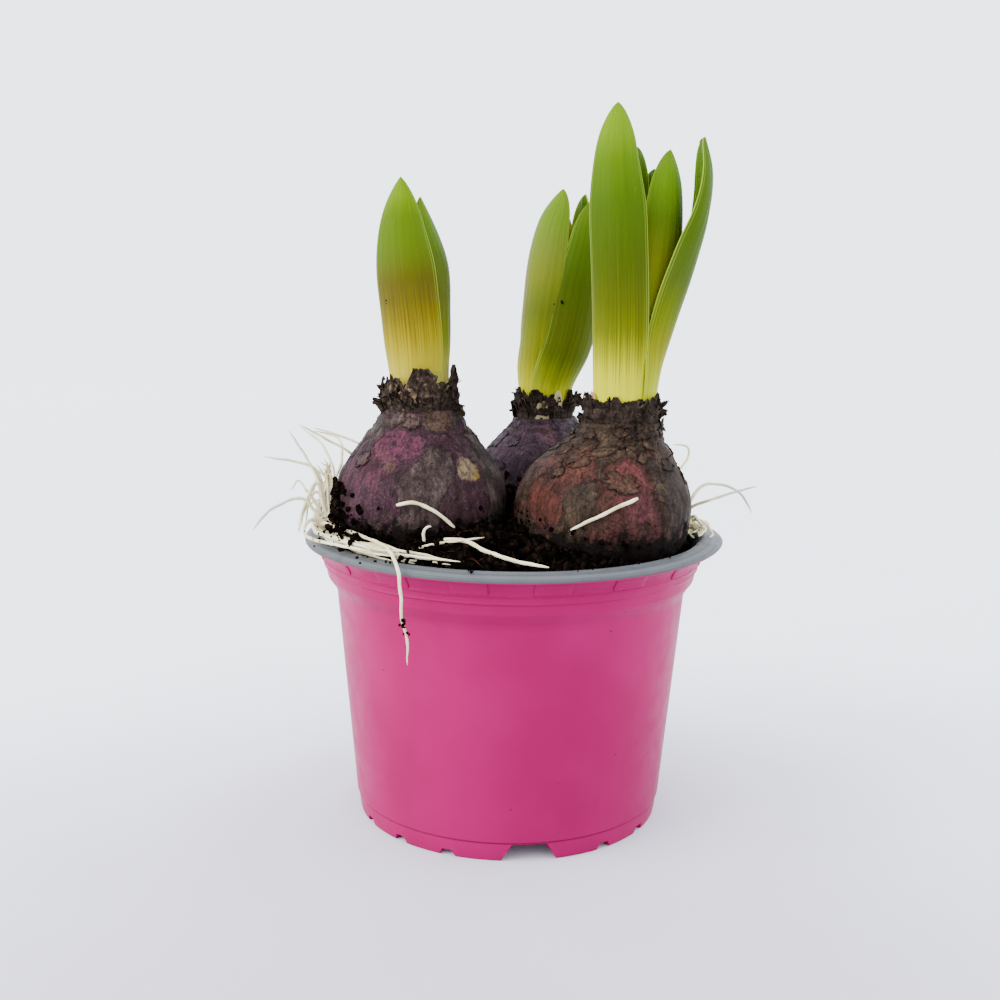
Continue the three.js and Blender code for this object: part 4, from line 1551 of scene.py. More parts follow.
            # The third mark is the flake's wave, which the finish darkens where it dips as painted
            # shade.
            marks[j, i] = (1, 0.8 * smooth((max(abs(u), abs(v)) - 0.8) / 0.2), wave * 2)
        flake = panel("flake", points, marks)
        modify(flake, "SOLIDIFY", thickness=0.16 * MM, offset=0.0)
        return flake

    def build_flakes(self, dress: Material) -> None:
        """The bulb's peeling flakes, placed by a seeded rule, in the tunic's material.

        Args:
            dress: the tunic's material.
        """
        draw = Random(self.seed * 31)
        low, high = self.flake_band
        flakes = []
        for order in range(self.flakes):
            height = mix(low, high, draw.random() ** 0.7)
            small = 1 - 0.4 * smooth((height - low) / (high - low))
            angle = draw.uniform(0, TURN)
            wide, tall = draw.uniform(*self.flake_wide) * small, draw.uniform(
                *self.flake_tall) * small
            lift = draw.uniform(0.0, self.flake_lift)
            flakes.append(self._flake(angle, height, wide, tall, lift, self.seed + order))
        piece = joined(f"bulb_{self.place}_flakes", flakes)
        soften(piece)
        finish_piece(piece, dress, Slot.DRY_TUNIC)

    def build(self) -> None:
        """The bulb without its leaves."""
        dress = self.finish.make()
        self.build_body(dress)
        self.build_flakes(dress)
        self.crown.build(self.place, self.neck)
        if self.sheaths:
            tongues = [sheath.build("tongue", self.neck) for sheath in self.sheaths]
            piece = joined(f"bulb_{self.place}_sheath", tongues)
            finish = SheathFinish(f"sheath_{self.place}", *self.sheath_colours)
            finish_piece(piece, finish.make(), Slot.DRY_TUNIC)


# ---- Leaves


@dataclass
class Blade:
    """One channelled leaf on the line of its solid, with a rounded margin and fine ribs."""

    name: str
    base: float
    facing: tuple[float, float, float]
    width: float
    foot: float
    taper: float
    fold: Pair
    through: tuple[Point, ...]
    tip: Point
    finish: BladeFinish
    tuck: float = 0.0
    thickness: float = 2.0
    margin: float = 0.7
    ribs: float = 26
    rib_height: float = 0.05
    taper_power: float = 2.2
    nose: float = 0.62
    throat_share: float = 0.12
    opening_share: float = 0.28
    swell_share: float = 0.45
    rows: int = 70
    tip_rows: int = 16
    tip_share: float = 0.1
    columns: int = 84

    def _half_width(self, share: float) -> float:
        """Half the width across the blade at a share of its length.

        Args:
            share: the share of the length.
        Returns:
            Half the width in mm.
        """
        swell = mix(self.foot, 1, smooth(share / self.swell_share))
        past = min(1.0, max(0.0, (share - self.taper) / (1 - self.taper)))
        left = max(0.0, 1 - past ** self.taper_power)
        return self.width * swell * mix(left, left ** self.nose, smooth(2 * past - 0.6))

    def _facing(self, share: float) -> float:
        """The way the back looks, in degrees."""
        start = 0 if share < 0.5 else 1
        return mix(self.facing[start], self.facing[start + 1], smooth(2 * share - start))

    def _ring(self, spine: Route, share: float) -> Array:
        """The points round the blade at a share of its length.

        Args:
            spine: the blade's line.
            share: the share of its length.
        Returns:
            The places in mm.
        """
        middle, along = spine.point(share), spine.direction(share)
        opened = smooth((share - self.throat_share) / self.opening_share)
        turn = radians(self._facing(share) + 4 * self.tuck * opened * (1 - opened))
        facing = np.array([cos(turn), sin(turn), 0.0])
        out = facing - along * float(facing @ along)
        out /= np.linalg.norm(out)
        side = np.cross(along, out)
        half_width = max(self._half_width(share), 0.02)
        open_fold = radians(mix(self.fold[0], self.fold[1], share))
        fold = mix(half_width / self.base, open_fold, opened)
        radius = half_width / fold
        thick = min(self.thickness, 0.9 * half_width)
        phase = np.arange(self.columns + 1) / self.columns * TURN
        across = -np.cos(phase)
        body = mix(thick, min(thick, self.margin), across ** 2)
        lens = np.sign(np.sin(phase)) * np.abs(np.sin(phase)) ** 0.45
        inset = body * (0.5 - 0.5 * lens)
        ribs = self.rib_height * np.sin(across * self.ribs) * (1 - across ** 4)
        ribs = ribs * (lens > 0) * min(1.0, half_width / 4)
        reach = radius - inset + ribs
        angle = across * fold
        ring = middle + np.outer(reach * np.cos(angle) - radius, out)
        return ring + np.outer(reach * np.sin(angle), side)

    def build(self, bulb: Bulb) -> None:
        """The leaf as one piece.

        Args:
            bulb: what it grows from.
        """
        angle = radians(self.facing[0])
        foot = beside(bulb.neck, angle, self.base, bulb.floor + GAP)
        throat = beside(bulb.neck, angle, self.base + 0.1, bulb.top)
        spine = Route([foot, throat, *self.through, self.tip])
        body = np.linspace(0, 1 - self.tip_share, self.rows + 1)
        end = 1 - self.tip_share * (1 - np.arange(1, self.tip_rows + 1) / self.tip_rows) ** 2
        shares = np.concatenate([body, end])
        points = np.array([self._ring(spine, share) for share in shares])
        points[-1] = np.array(self.tip)
        phase = np.arange(self.columns + 1) / self.columns * TURN
        marks = np.zeros_like(points)
        marks[:, :, 0] = -np.cos(phase)[None, :]
        marks[:, :, 1] = shares[:, None]
        # The third mark picks the concave inner face, which the finish tints as painted shade.
        marks[:, :, 2] = (np.sin(phase) < -0.02)[None, :]
        node = f"leaf_{bulb.place}_{self.name}"
        leaf = panel(f"{node}_blade", points, marks)
        close_up(leaf)
        soften(leaf)
        finish_piece(leaf, self.finish.make(node), Slot.LEAF, node)


@dataclass
class FlowerBud:
    """A short spike of tight florets, down between the leaves."""

    height: float
    radius: float
    rows: int = 9
    round: int = 7

    @staticmethod
    def _floret() -> Piece:
        """One closed floret, six-sided and pointed.

        Returns:
            The floret.
        """
        deselect()
        bpy.ops.mesh.primitive_uv_sphere_add(segments=12, ring_count=7, radius=1)
        floret = bpy.context.object
        for vertex in floret.data.vertices:
            x, y, z = vertex.co
            lobed = 1 + 0.12 * cos(6 * atan2(y, x))
            vertex.co = (x * lobed * 0.62, y * lobed * 0.62, z * (1.25 if z > 0 else 0.9))
        return floret

    def build(self, bulb: Bulb) -> None:
        """The flower bud as one piece.

        Args:
            bulb: what it grows from.
        """
        places = []
        neck, floor = bulb.neck, bulb.floor
        for row in range(self.rows):
            rise = (row + 0.5) / self.rows
            swell = sin(pi * (0.22 + 0.72 * rise)) ** 0.7
            for i in range(self.round):
                angle = TURN * (i + 0.5 * (row % 2)) / self.round
                reach = self.radius * swell * 0.62
                at = beside(neck, angle, reach, floor + GAP + self.height * (0.28 + 0.68 * rise))
                size = self.radius * 0.42 * (0.75 + 0.25 * swell)
                places.append(placed(at, (0, 0.45, angle), (size, size, size * 1.5)))
        florets = scattered("florets", [self._floret()], places)
        stalk_top = floor + GAP + self.height * 0.9
        line = [(0.0, floor + GAP), (self.radius * 0.5, floor + GAP),
                (self.radius * 0.42, mix(floor, stalk_top, 0.5)),
                (self.radius * 0.35, stalk_top - 2), (0.0, stalk_top)]
        stalk = turned("stalk", line, 24)
        set_places(stalk, places_of(stalk) + np.array([neck[0], neck[1], 0.0]))
        bud = joined(f"flower_bud_{bulb.place}_florets", [florets, stalk])
        soften(bud)
        finish_piece(bud, BudFinish().make(), Slot.FLOWER_BUD, f"flower_bud_{bulb.place}")


# ---- Soil


@dataclass(frozen=True)
class Heap:
    """A small cluster of crumbs."""

    centre: Point
    count: int
    spread: Point
    size: float


@dataclass
class Soil:
    """The lumpy soil, with loose crumbs and fibres on it."""

    edge: float = 52.7
    edge_height: float = 81.4
    dome: float = 6.2
    mounds: tuple[tuple[float, float, float, float], ...] = ((-2, 2, 6.4, 10), (-16, -33, 2.8, 10))
    walls: tuple[Pair, ...] = ((0.0, 6.3), (43.9, 6.3), (44.1, 7.1), (49.9, 67.9), (52.6, 72.4))
    columns: int = 300
    rows: int = 84
    crumbs: int = 2000
    crumb_seed: int = 77
    collar: int = 170
    drift: int = 300
    drift_at: Pair = (196, 17)
    lip: int = 70
    lip_band: Pair = (54.6, 56.6)
    lip_height: float = 83.4
    coarse_from: float = 0.75
    fibres: int = 520
    fibre_seed: int = 78
    heaps: tuple[Heap, ...] = (
        Heap((-27.1, -54.6, 68.9), 12, (0.5, 0.35, 0.8), 0.55),
        Heap((-26.6, -54.2, 66.2), 4, (0.4, 0.3, 0.3), 0.4),
        Heap((-10.2, -56.4, 83.5), 5, (0.7, 0.7, 0.1), 0.45),
        Heap((-30, -48, 84.2), 16, (4, 3, 0.5), 0.6),
        Heap((-47.5, -20, 86.5), 60, (2.6, 5, 2.2), 0.9),
        Heap((-40, -30, 87), 30, (4, 3, 1.5), 0.9),
        Heap((-46, -29, 87.2), 70, (5, 7, 0.9), 0.34),
        Heap((-22, -43.5, 86.6), 40, (5, 2, 0.7), 0.7),
        Heap((-35, -16.9, 149.6), 2, (0.3, 0.1, 0.5), 0.42),
        Heap((14.2, 18.9, 148.8), 1, (0, 0, 0), 0.55),
        Heap((11.9, 19.9, 148.2), 1, (0, 0, 0), 0.4))

    def height(self, x: float, y: float) -> float:
        """The height of the smooth soil at a place.

        Args:
            x: across, in mm.
            y: in depth, in mm.
        Returns:
            The height in mm.
        """
        reach = min(1.0, hypot(x, y) / self.edge)
        heaps = sum(high * exp(-0.5 * ((x - mx) ** 2 + (y - my) ** 2) / spread ** 2)
                    for mx, my, high, spread in self.mounds)
        crossed = sin(0.55 * x) * cos(0.47 * y)
        slanted = 0.6 * sin(0.31 * x - 0.73 * y)
        lumps = 0.6 * (crossed + slanted) * (1 - reach ** 6)
        return self.edge_height + self.dome * (1 - reach ** 3) + heaps + lumps

    def surface(self, x: float, y: float) -> float:
        """The height of the rough soil at a place.

        Args:
            x: across, in mm.
            y: in depth, in mm.
        Returns:
            The height in mm.
        """
        reach = min(1.0, hypot(x, y) / self.edge)
        rough = noise.fractal(Vector((x, y, 3.0)) / 5.5, 0.9, 2.1, 5) * 1.3
        rough += 0.6 * noise.fractal(Vector((x, y, 9.0)) / 1.9, 0.8, 2.0, 3)
        return self.height(x, y) + rough * (1 - 0.7 * reach ** 10)

    def build_bed(self) -> None:
        """The soil itself, closed down to the pot's floor."""
        angles = [TURN * (i % self.columns) / self.columns for i in range(self.columns + 1)]
        rings = [[beside((0, 0), a, radius, height) for a in angles]
                 for radius, height in self.walls]
        for row in range(self.rows + 1):
            radius = self.edge * (1 - row / self.rows)
            ring = [beside((0, 0), a, radius, 0) for a in angles]
            rings.append([(x, y, self.surface(x, y)) for x, y, _ in ring])
        bed = panel("soil_bed", np.array(rings))
        close_up(bed, fill=False)
        soften(bed)
        finish_piece(bed, SoilFinish().make(), Slot.SOIL, "soil")

    @staticmethod
    def _crumb_model(seed: int, detail: int) -> Piece:
        """One rough crumb of unit radius.

        Args:
            seed: which shape it is.
            detail: how finely it is divided.
        Returns:
            The crumb.
        """
        deselect()
        bpy.ops.mesh.primitive_ico_sphere_add(subdivisions=detail, radius=1)
        crumb = bpy.context.object
        for vertex in crumb.data.vertices:
            vertex.co *= 1 + 0.6 * noise.noise(vertex.co * 1.3 + Vector((seed * 9.1, 0, 0)))
        return crumb

    @staticmethod
    def _fibre_model(bend: float, seed: int) -> Piece:
        """One bent fibre of unit length, three-sided.

        Args:
            bend: how far it bends.
            seed: which shape it is.
        Returns:
            The fibre.
        """
        draw = Random(seed)
        rows = 7
        points = np.zeros((rows, 4, 3))
        for j in range(rows):
            v = j / (rows - 1) - 0.5
            for i in range(4):
                side = TURN * (i % 3) / 3
                thin = (0.5 - abs(v) * 0.6) * 0.04
                bent = bend * v * v + 0.03 * draw.uniform(-1, 1)
                points[j, i] = (v, bent + thin * cos(side), 0.12 * sin(3 * v) + thin * sin(side))
        return panel("fibre", points / MM)

    def _clear_of(self, bulbs: Sequence[Bulb], x: float, y: float, z: float) -> bool:
        """Whether a place is outside every bulb."""
        return all(dist((x, y), bulb.middle(z)) >= bulb.radius(z) - 0.2 for bulb in bulbs)

    @staticmethod
    def _crumb(at: Sequence[float], size: float, draw: Random) -> Matrix:
        """The place of one crumb, turned and squashed by chance."""
        turn = tuple(draw.uniform(0, TURN) for _ in range(3))
        return placed(at, turn, (
            size, size * draw.uniform(0.6, 1.0), size * draw.uniform(0.5, 0.9)))

    def _spot(self, draw: Random, share: float) -> Point:
        """A chance place on the soil, within a share of its radius.

        Args:
            draw: the chance that places them.
            share: how far out it may be.
        Returns:
            The place in mm.
        """
        radius = self.edge * sqrt(draw.random()) * share
        x, y, _ = beside((0, 0), draw.uniform(0, TURN), radius, 0)
        return (x, y, self.surface(x, y))

    def _crumb_places(self, bulbs: Sequence[Bulb]) -> list[Matrix]:
        """The places of all crumbs, by a seeded rule.

        Args:
            bulbs: what stands in the soil.
        Returns:
            One matrix for each crumb.
        """
        draw = Random(self.crumb_seed)
        places = []
        while len(places) < self.crumbs:
            x, y, z = self._spot(draw, 0.985)
            size = 0.35 + 1.25 * draw.random() ** 3
            if self._clear_of(bulbs, x, y, z + size):
                places.append(self._crumb((x, y, z + 0.25 * size), size, draw))
        for bulb in bulbs:
            for _ in range(self.collar):
                angle = draw.uniform(0, TURN)
                x, y, _ = bulb.skin(angle, 90)
                z = self.surface(x, y) + 6.5 * draw.random() ** 2.2
                size = 0.3 + 0.7 * draw.random() ** 2
                places.append(self._crumb(bulb.skin(angle, z, 0.1 * size), size, draw))
        for _ in range(self.drift):
            angle = radians(draw.gauss(*self.drift_at))
            z = 84 + 15 * draw.random() ** 1.7
            size = 0.4 + 0.9 * draw.random() ** 2
            places.append(self._crumb(bulbs[1].skin(angle, z, draw.uniform(0.0, 1.2)), size, draw))
        for _ in range(self.lip):
            angle, size = draw.uniform(0, TURN), draw.uniform(0.12, 0.4)
            at = beside((0, 0), angle, draw.uniform(*self.lip_band), self.lip_height)
            places.append(self._crumb(at, size, draw))
        for heap in self.heaps:
            for _ in range(heap.count):
                at = [draw.gauss(c, s) for c, s in zip(heap.centre, heap.spread)]
                places.append(self._crumb(at, heap.size * draw.uniform(0.5, 1.3), draw))
        return places

    def build_crumbs(self, bulbs: Sequence[Bulb]) -> None:
        """Loose crumbs on the soil, on the feet of the bulbs and a few on the lip.

        Args:
            bulbs: what stands in the soil.
        """
        places = self._crumb_places(bulbs)
        large = [place for place in places if place.to_scale().x > self.coarse_from]
        small = [place for place in places if place.to_scale().x <= self.coarse_from]
        lumps = scattered("lumps", [self._crumb_model(seed, 2) for seed in range(5)], large)
        grains = scattered("grains", [self._crumb_model(seed, 1) for seed in range(5)], small)
        crumbs = joined("soil_crumbs", [lumps, grains])
        soften(crumbs, 50)
        finish_piece(crumbs, CrumbFinish("soil_crumb", "050403", "1e1410").make(), Slot.SOIL)

    def build_fibres(self, bulbs: Sequence[Bulb]) -> None:
        """Thin brown fibres lying on the soil and standing from it.

        Args:
            bulbs: what stands in the soil.
        """
        draw = Random(self.fibre_seed)
        places = []
        while len(places) < self.fibres:
            x, y, z = self._spot(draw, 0.95)
            z += 0.5
            length = draw.uniform(1.8, 6.0)
            if self._clear_of(bulbs, x, y, z):
                turn = (draw.uniform(0, TURN), draw.gauss(0, 0.35), draw.uniform(0, TURN))
                places.append(placed((x, y, z), turn, (length, length, length)))
        models = [self._fibre_model(bend, order) for order, bend in enumerate((0.6, -1.1, 0.25))]
        fibres = scattered("soil_fibres", models, places)
        finish_piece(fibres, CrumbFinish("soil_fibre", "100a08", "3e281a", 9.0).make(), Slot.SOIL)


# ---- Roots


@dataclass
class Roots:
    """A clump of loose white roots: strands along given routes, thinner towards their tips."""

    place: str
    strands: Strands
    thick: float = 0.56
    thin: float = 0.3
    extra: Strands = ()
    seed: int = 1
    sway: float = 0.3
    sway_size: float = 3.5
    swelling: float = 0.22
    swelling_size: float = 1.8

    def _strand(self, route: Route, seed: float, thick: float, thin: float) -> Piece:
        """One root as a tube with small swellings.

        Args:
            route: its line.
            seed: which sway it has.
            thick: its radius at the foot.
            thin: its radius at the tip.
        Returns:
            The strand as a mesh.
        """
        steps = max(12, int(route.length))
        curve = bpy.data.curves.new("strand", "CURVE")
        curve.dimensions = "3D"
        curve.bevel_depth = MM
        curve.bevel_resolution = 2
        curve.use_fill_caps = True
        line = curve.splines.new("POLY")
        line.points.add(steps)
        for i in range(steps + 1):
            share = i / steps
            x, y, z = route.point(share)
            where = Vector((x, y, z)) / self.sway_size + Vector((seed, 0, 0))
            sway = noise.noise_vector(where) * self.sway
            spot = line.points[i]
            spot.co = ((x + sway.x) * MM, (y + sway.y) * MM, (z + 0.5 * sway.z) * MM, 1)
            along = Vector((share * route.length / self.swelling_size, seed, 0))
            swell = 1 + self.swelling * noise.noise(along)
            end = min(1.0, 0.35 + 6 * (1 - share), 0.6 + 8 * share)
            spot.radius = mix(thick, thin, share ** 1.4) * swell * end
        strand = bpy.data.objects.new("strand", curve)
        bpy.context.scene.collection.objects.link(strand)
        pick(strand)
        bpy.ops.object.convert(target="MESH")
        return bpy.context.object

    def build(self) -> None:
        """The clump as one piece."""
        draw = Random(self.seed)
        strands = [self._strand(Route(points, 16), order + self.seed, self.thick, self.thin)
                   for order, points in enumerate(self.strands)]
        for order, points in enumerate(self.extra):
            thick = draw.uniform(0.28, 0.56)
            strands.append(self._strand(Route(points, 16), 40 + order, thick, thick * 0.65))
        clump = joined(f"roots_{self.place}_strands", strands)
        close_up(clump, fill=False)
        soften(clump)
        finish_piece(clump, RootFinish().make(), Slot.ROOT, f"roots_{self.place}")


def arching_strands(x: float, y: float) -> Strands:
    """Four roots that rise beside the left bulb and come down on the lip.

    Args:
        x: where they start, across.
        y: where they start, in depth.
    Returns:
        The routes of the strands.
    """
    outward, slack = (0, 2.6, 5, 8.4, 10.6), (0, 0, 0, 0, 0.25)
    lean, spread = (0, 0, 0, -1, -2), (0.1, 0.35, 0.6, 0.8, 1)
    strands = []
    for i in range(4):
        aside = (i / 3 - 0.5) * 2 * 5.4
        heights = (84.4, 90.4, 99 - 3 * (i % 3), 91.2, 85.2)
        strands.append(tuple(
            (x - out + loose * abs(aside), y + ahead + wide * aside, height)
            for out, loose, ahead, wide, height in zip(outward, slack, lean, spread, heights)))
    return tuple(strands)


def rim_strands(count: int, start: Pair, sweep: Pair, seed: int) -> Strands:
    """Roots that lie along the lip.

    Args:
        count: how many.
        start: the lowest and highest angle they start at, in degrees.
        sweep: the least and greatest angle they run through.
        seed: which chance placing it is.
    Returns:
        The routes of the strands.
    """
    draw = Random(seed)
    strands = []
    for _ in range(count):
        first, run = draw.uniform(*start), draw.uniform(*sweep)
        radius = draw.uniform(50.8, 57.0)
        height = (83.9 if radius > 53.8 else 83.0) + 2.2 * draw.random() ** 1.4
        points = []
        for k in range(6):
            angle = radians(first + run * k / 5)
            reach = radius + draw.uniform(-1.3, 1.3)
            points.append(beside((0, 0), angle, reach, height + draw.uniform(-0.35, 0.5)))
        strands.append(tuple(points))
    return tuple(strands)


def sheaf_strands(count: int, seed: int) -> Strands:
    """Roots that rise from the lip beside the left bulb and draw together at the top.

    Args:
        count: how many.
        seed: which chance placing it is.
    Returns:
        The routes of the strands.
    """
    draw = Random(seed)
    strands = []
    for order in range(count):
        u = (order + draw.uniform(0, 1)) / count
        foot = (mix(-56.5, -47.5, u), -15.5 + draw.uniform(-2.5, 2.5), 84.4 + draw.uniform(0, 1.5))
        top = (-52.2 + draw.uniform(-0.9, 0.9), -11 + draw.uniform(-1.5, 1.5),
               102 + draw.uniform(-5, 1.5))
        middle = tuple(mix(a, b, 0.5) + draw.uniform(-0.6, 0.6) for a, b in zip(foot, top))
        out = (top[0] - draw.uniform(-1.5, 4), top[1] + draw.uniform(-2, 2),
               top[2] + draw.uniform(0, 4))
        strands.append((foot, middle, top, out))
    return tuple(strands)


# ---- The object's own numbers


def leaf_tables() -> dict[str, tuple[Blade, ...]]:
    """Every leaf of the three bulbs, on the lines of their solids.

    Returns:
        The leaves of each bulb, by its place.
    """
    yellow = (0.0, "aea620")
    cream = (0.0, "b3a870")
    right = (
        Blade("front", 8.9, (-103, -102, -98), 8.9, 0.96, 0.66, (52, 46), ((27.9, -26.0, 127),
            (27.6, -27.2, 147), (26.6, -27.0, 168), (25.8, -24.6, 187)), (26.4, -20.8, 201.8),
            BladeFinish((yellow, (0.12, "b6b200"), (0.25, "9f9d00"), (0.31, "787800"),
            (0.37, "525802"), (0.45, "434b04"), (0.53, "394602"), (0.61, "344601"),
            (0.73, "344b00"), (0.84, "405a00"), (0.92, "556d04"), (1.0, "5b7602")), streak="332a06",
            streak_at=0.50, streak_reach=0.28, seed=1)),
        Blade("side", 8.9, (-2, -22, 10), 9.4, 0.84, 0.6, (62, 76), ((39.9, -18.4, 129),
            (43.8, -19.2, 145), (48.6, -18.8, 160.4), (51.8, -17.6, 173), (52.5, -16.4, 184)),
            (50.4, -15.0, 193.8), BladeFinish((yellow, (0.22, "929708"), (0.34, "6d6c00"),
            (0.44, "535e01"), (0.56, "3c4a0f"), (0.69, "354804"), (0.82, "374b04"),
            # This leaf's concave inner face gets a lighter green: painted light.
            (0.94, "384f07"), (1.0, "425607")), streak="26300a", inside="44620a", seed=2), tuck=10,
            nose=0.5),
        Blade("inner", 6.4, (-54, -58, -72), 8.4, 0.76, 0.62, (54, 48), ((35.4, -22.0, 128),
            (38.6, -21.6, 148), (40.8, -19.4, 168), (41.4, -16.0, 182)), (41.5, -12.6, 190.6),
            BladeFinish((yellow, (0.25, "847e0c"), (0.4, "5e6202"), (0.51, "565f01"),
            (0.64, "525a07"), (0.77, "3e5302"), (0.90, "4c6b04"), (1.0, "556f0e")), streak="5a3a10",
            streak_at=0.58, streak_reach=0.24, streak_share=0.5, seed=3)),
        Blade("back", 8.9, (64, 66, 70), 8.6, 0.92, 0.62, (52, 46), ((34.6, -6.8, 126),
            (36.8, -4.6, 146), (38.2, -3.8, 166)), (38.0, -6.0, 186.0), BladeFinish((yellow,
            (0.2, "847e0c"), (0.36, "5a6202"), (0.6, "374e02"), (0.9, "3c5604"), (1.0, "445a07")),
            seed=4)),
        Blade("rear", 6.4, (138, 130, 116), 8.0, 0.8, 0.62, (52, 46), ((25.4, -10.4, 126),
            (26.8, -8.0, 148), (29.8, -6.6, 170)), (32.9, -8.4, 191.6), BladeFinish((yellow,
            (0.22, "847e0c"), (0.38, "535e02"), (0.6, "344c02"), (0.9, "3c5604"), (1.0, "445a07")),
            seed=5)),
    )
    left = (
        Blade("front", 8.3, (-102, -99, -96), 9.9, 0.83, 0.6, (54, 50), ((-27.8, -17.6, 127),
            (-28.6, -19.2, 141), (-30.1, -19.2, 155), (-31.3, -17.4, 168)), (-31.3, -13.2, 182.6),
            BladeFinish((cream, (0.22, "9b9038"), (0.31, "90811a"), (0.41, "7a6d02"),
            (0.48, "625806"), (0.55, "4e480b"), (0.62, "444109"), (0.70, "424d06"),
            (0.77, "405501"), (0.86, "425800"), (0.95, "566f00"), (1.0, "5a7300")), streak="40240c",
            streak_at=0.52, streak_reach=0.22, streak_share=0.6, seed=6), nose=0.76),
        Blade("side", 8.3, (-2, -14, -24), 8.2, 0.9, 0.6, (56, 50), ((-18.0, -10.2, 127),
            (-18.0, -11.0, 145), (-19.0, -11.0, 160)), (-26.2, -9.0, 177.6),
            BladeFinish((cream, (0.3, "81792c"), (0.44, "545c01"), (0.6, "41460b"),
            (0.75, "384708"), (0.91, "425c01"), (1.0, "51660e")), side="5a4026", side_share=0.5,
            side_from=0.3, seed=7), tuck=12),
        Blade("back", 8.3, (86, 86, 86), 7.8, 0.95, 0.6, (54, 46), ((-25.0, 0.0, 127),
            (-25.6, 1.0, 144), (-26.6, 0.0, 158)), (-28.0, -3.4, 171.0), BladeFinish((cream,
            (0.25, "8c831f"), (0.45, "525704"), (0.65, "3a4f02"), (1.0, "475f07")), seed=8)),
        Blade("rear", 5.8, (164, 164, 164), 6.4, 0.9, 0.6, (54, 46), ((-32.4, -6.8, 128),
            (-34.0, -6.4, 142), (-34.0, -7.0, 154)), (-32.6, -8.4, 165.0), BladeFinish((cream,
            (0.25, "8c831f"), (0.45, "525704"), (0.65, "3a4f02"), (1.0, "475f07")), seed=9)),
    )
    back = (
        Blade("front", 7.3, (-66, -72, -70), 9.2, 0.96, 0.6, (56, 48), ((13.6, 21.4, 123),
            (18.0, 19.2, 137), (21.0, 19.2, 153), (23.0, 20.6, 168)), (23.8, 24.0, 179.4),
            BladeFinish(((0.0, "aaa430"), (0.15, "a8a408"), (0.25, "6b7104"), (0.35, "464f04"),
            (0.48, "3e4704"), (0.65, "344201"), (0.82, "354b01"), (1.0, "425807")), streak="2a2c06",
            streak_share=0.35, seed=10)),
        Blade("side", 7.3, (-150, -132, -120), 9.0, 0.82, 0.62, (56, 50), ((3.9, 25.2, 123),
            (5.0, 22.8, 140), (6.9, 21.6, 157), (10.0, 22.4, 172)), (14.2, 25.6, 182.2),
            BladeFinish(((0.0, "aaa430"), (0.22, "949002"), (0.34, "696d01"), (0.515, "4c560c"),
            (0.64, "585f11"), (0.76, "556017"), (0.90, "4a650c"), (1.0, "586b10")), streak="4a3a1c",
            side="6a4a3e", side_share=0.6, side_from=-0.35, seed=11), tuck=12),
        Blade("inner", 4.8, (-100, -98, -98), 6.0, 0.8, 0.6, (54, 46), ((10.6, 23.4, 124),
            (12.4, 23.6, 144), (14.0, 24.6, 162)), (14.4, 28.6, 177.0), BladeFinish(((0.0,
            "9a8d30"), (0.25, "787208"), (0.5, "625c04"), (0.75, "5a5809"), (1.0, "5d6407")),
            streak="7a4410", streak_at=0.75, streak_reach=0.3, streak_share=0.7, seed=12)),
        Blade("rear", 7.3, (48, 48, 46), 8.0, 0.95, 0.6, (54, 48), ((16.2, 35.0, 124),
            (20.2, 37.0, 144), (22.6, 36.6, 164)), (21.4, 32.6, 181.2), BladeFinish(((0.0,
            "9a8d30"), (0.22, "787808"), (0.4, "465502"), (0.65, "324a02"), (1.0, "3f5604")),
            # This leaf's concave inner face gets a darker green: painted shade.
            inside="243a02", seed=13)),
    )
    return {"right": right, "left": left, "back": back}


def bud_tables() -> dict[str, FlowerBud]:
    """The flower bud of each bulb, by its place."""
    return {"right": FlowerBud(46, 4.0), "left": FlowerBud(38, 3.6), "back": FlowerBud(42, 2.6)}


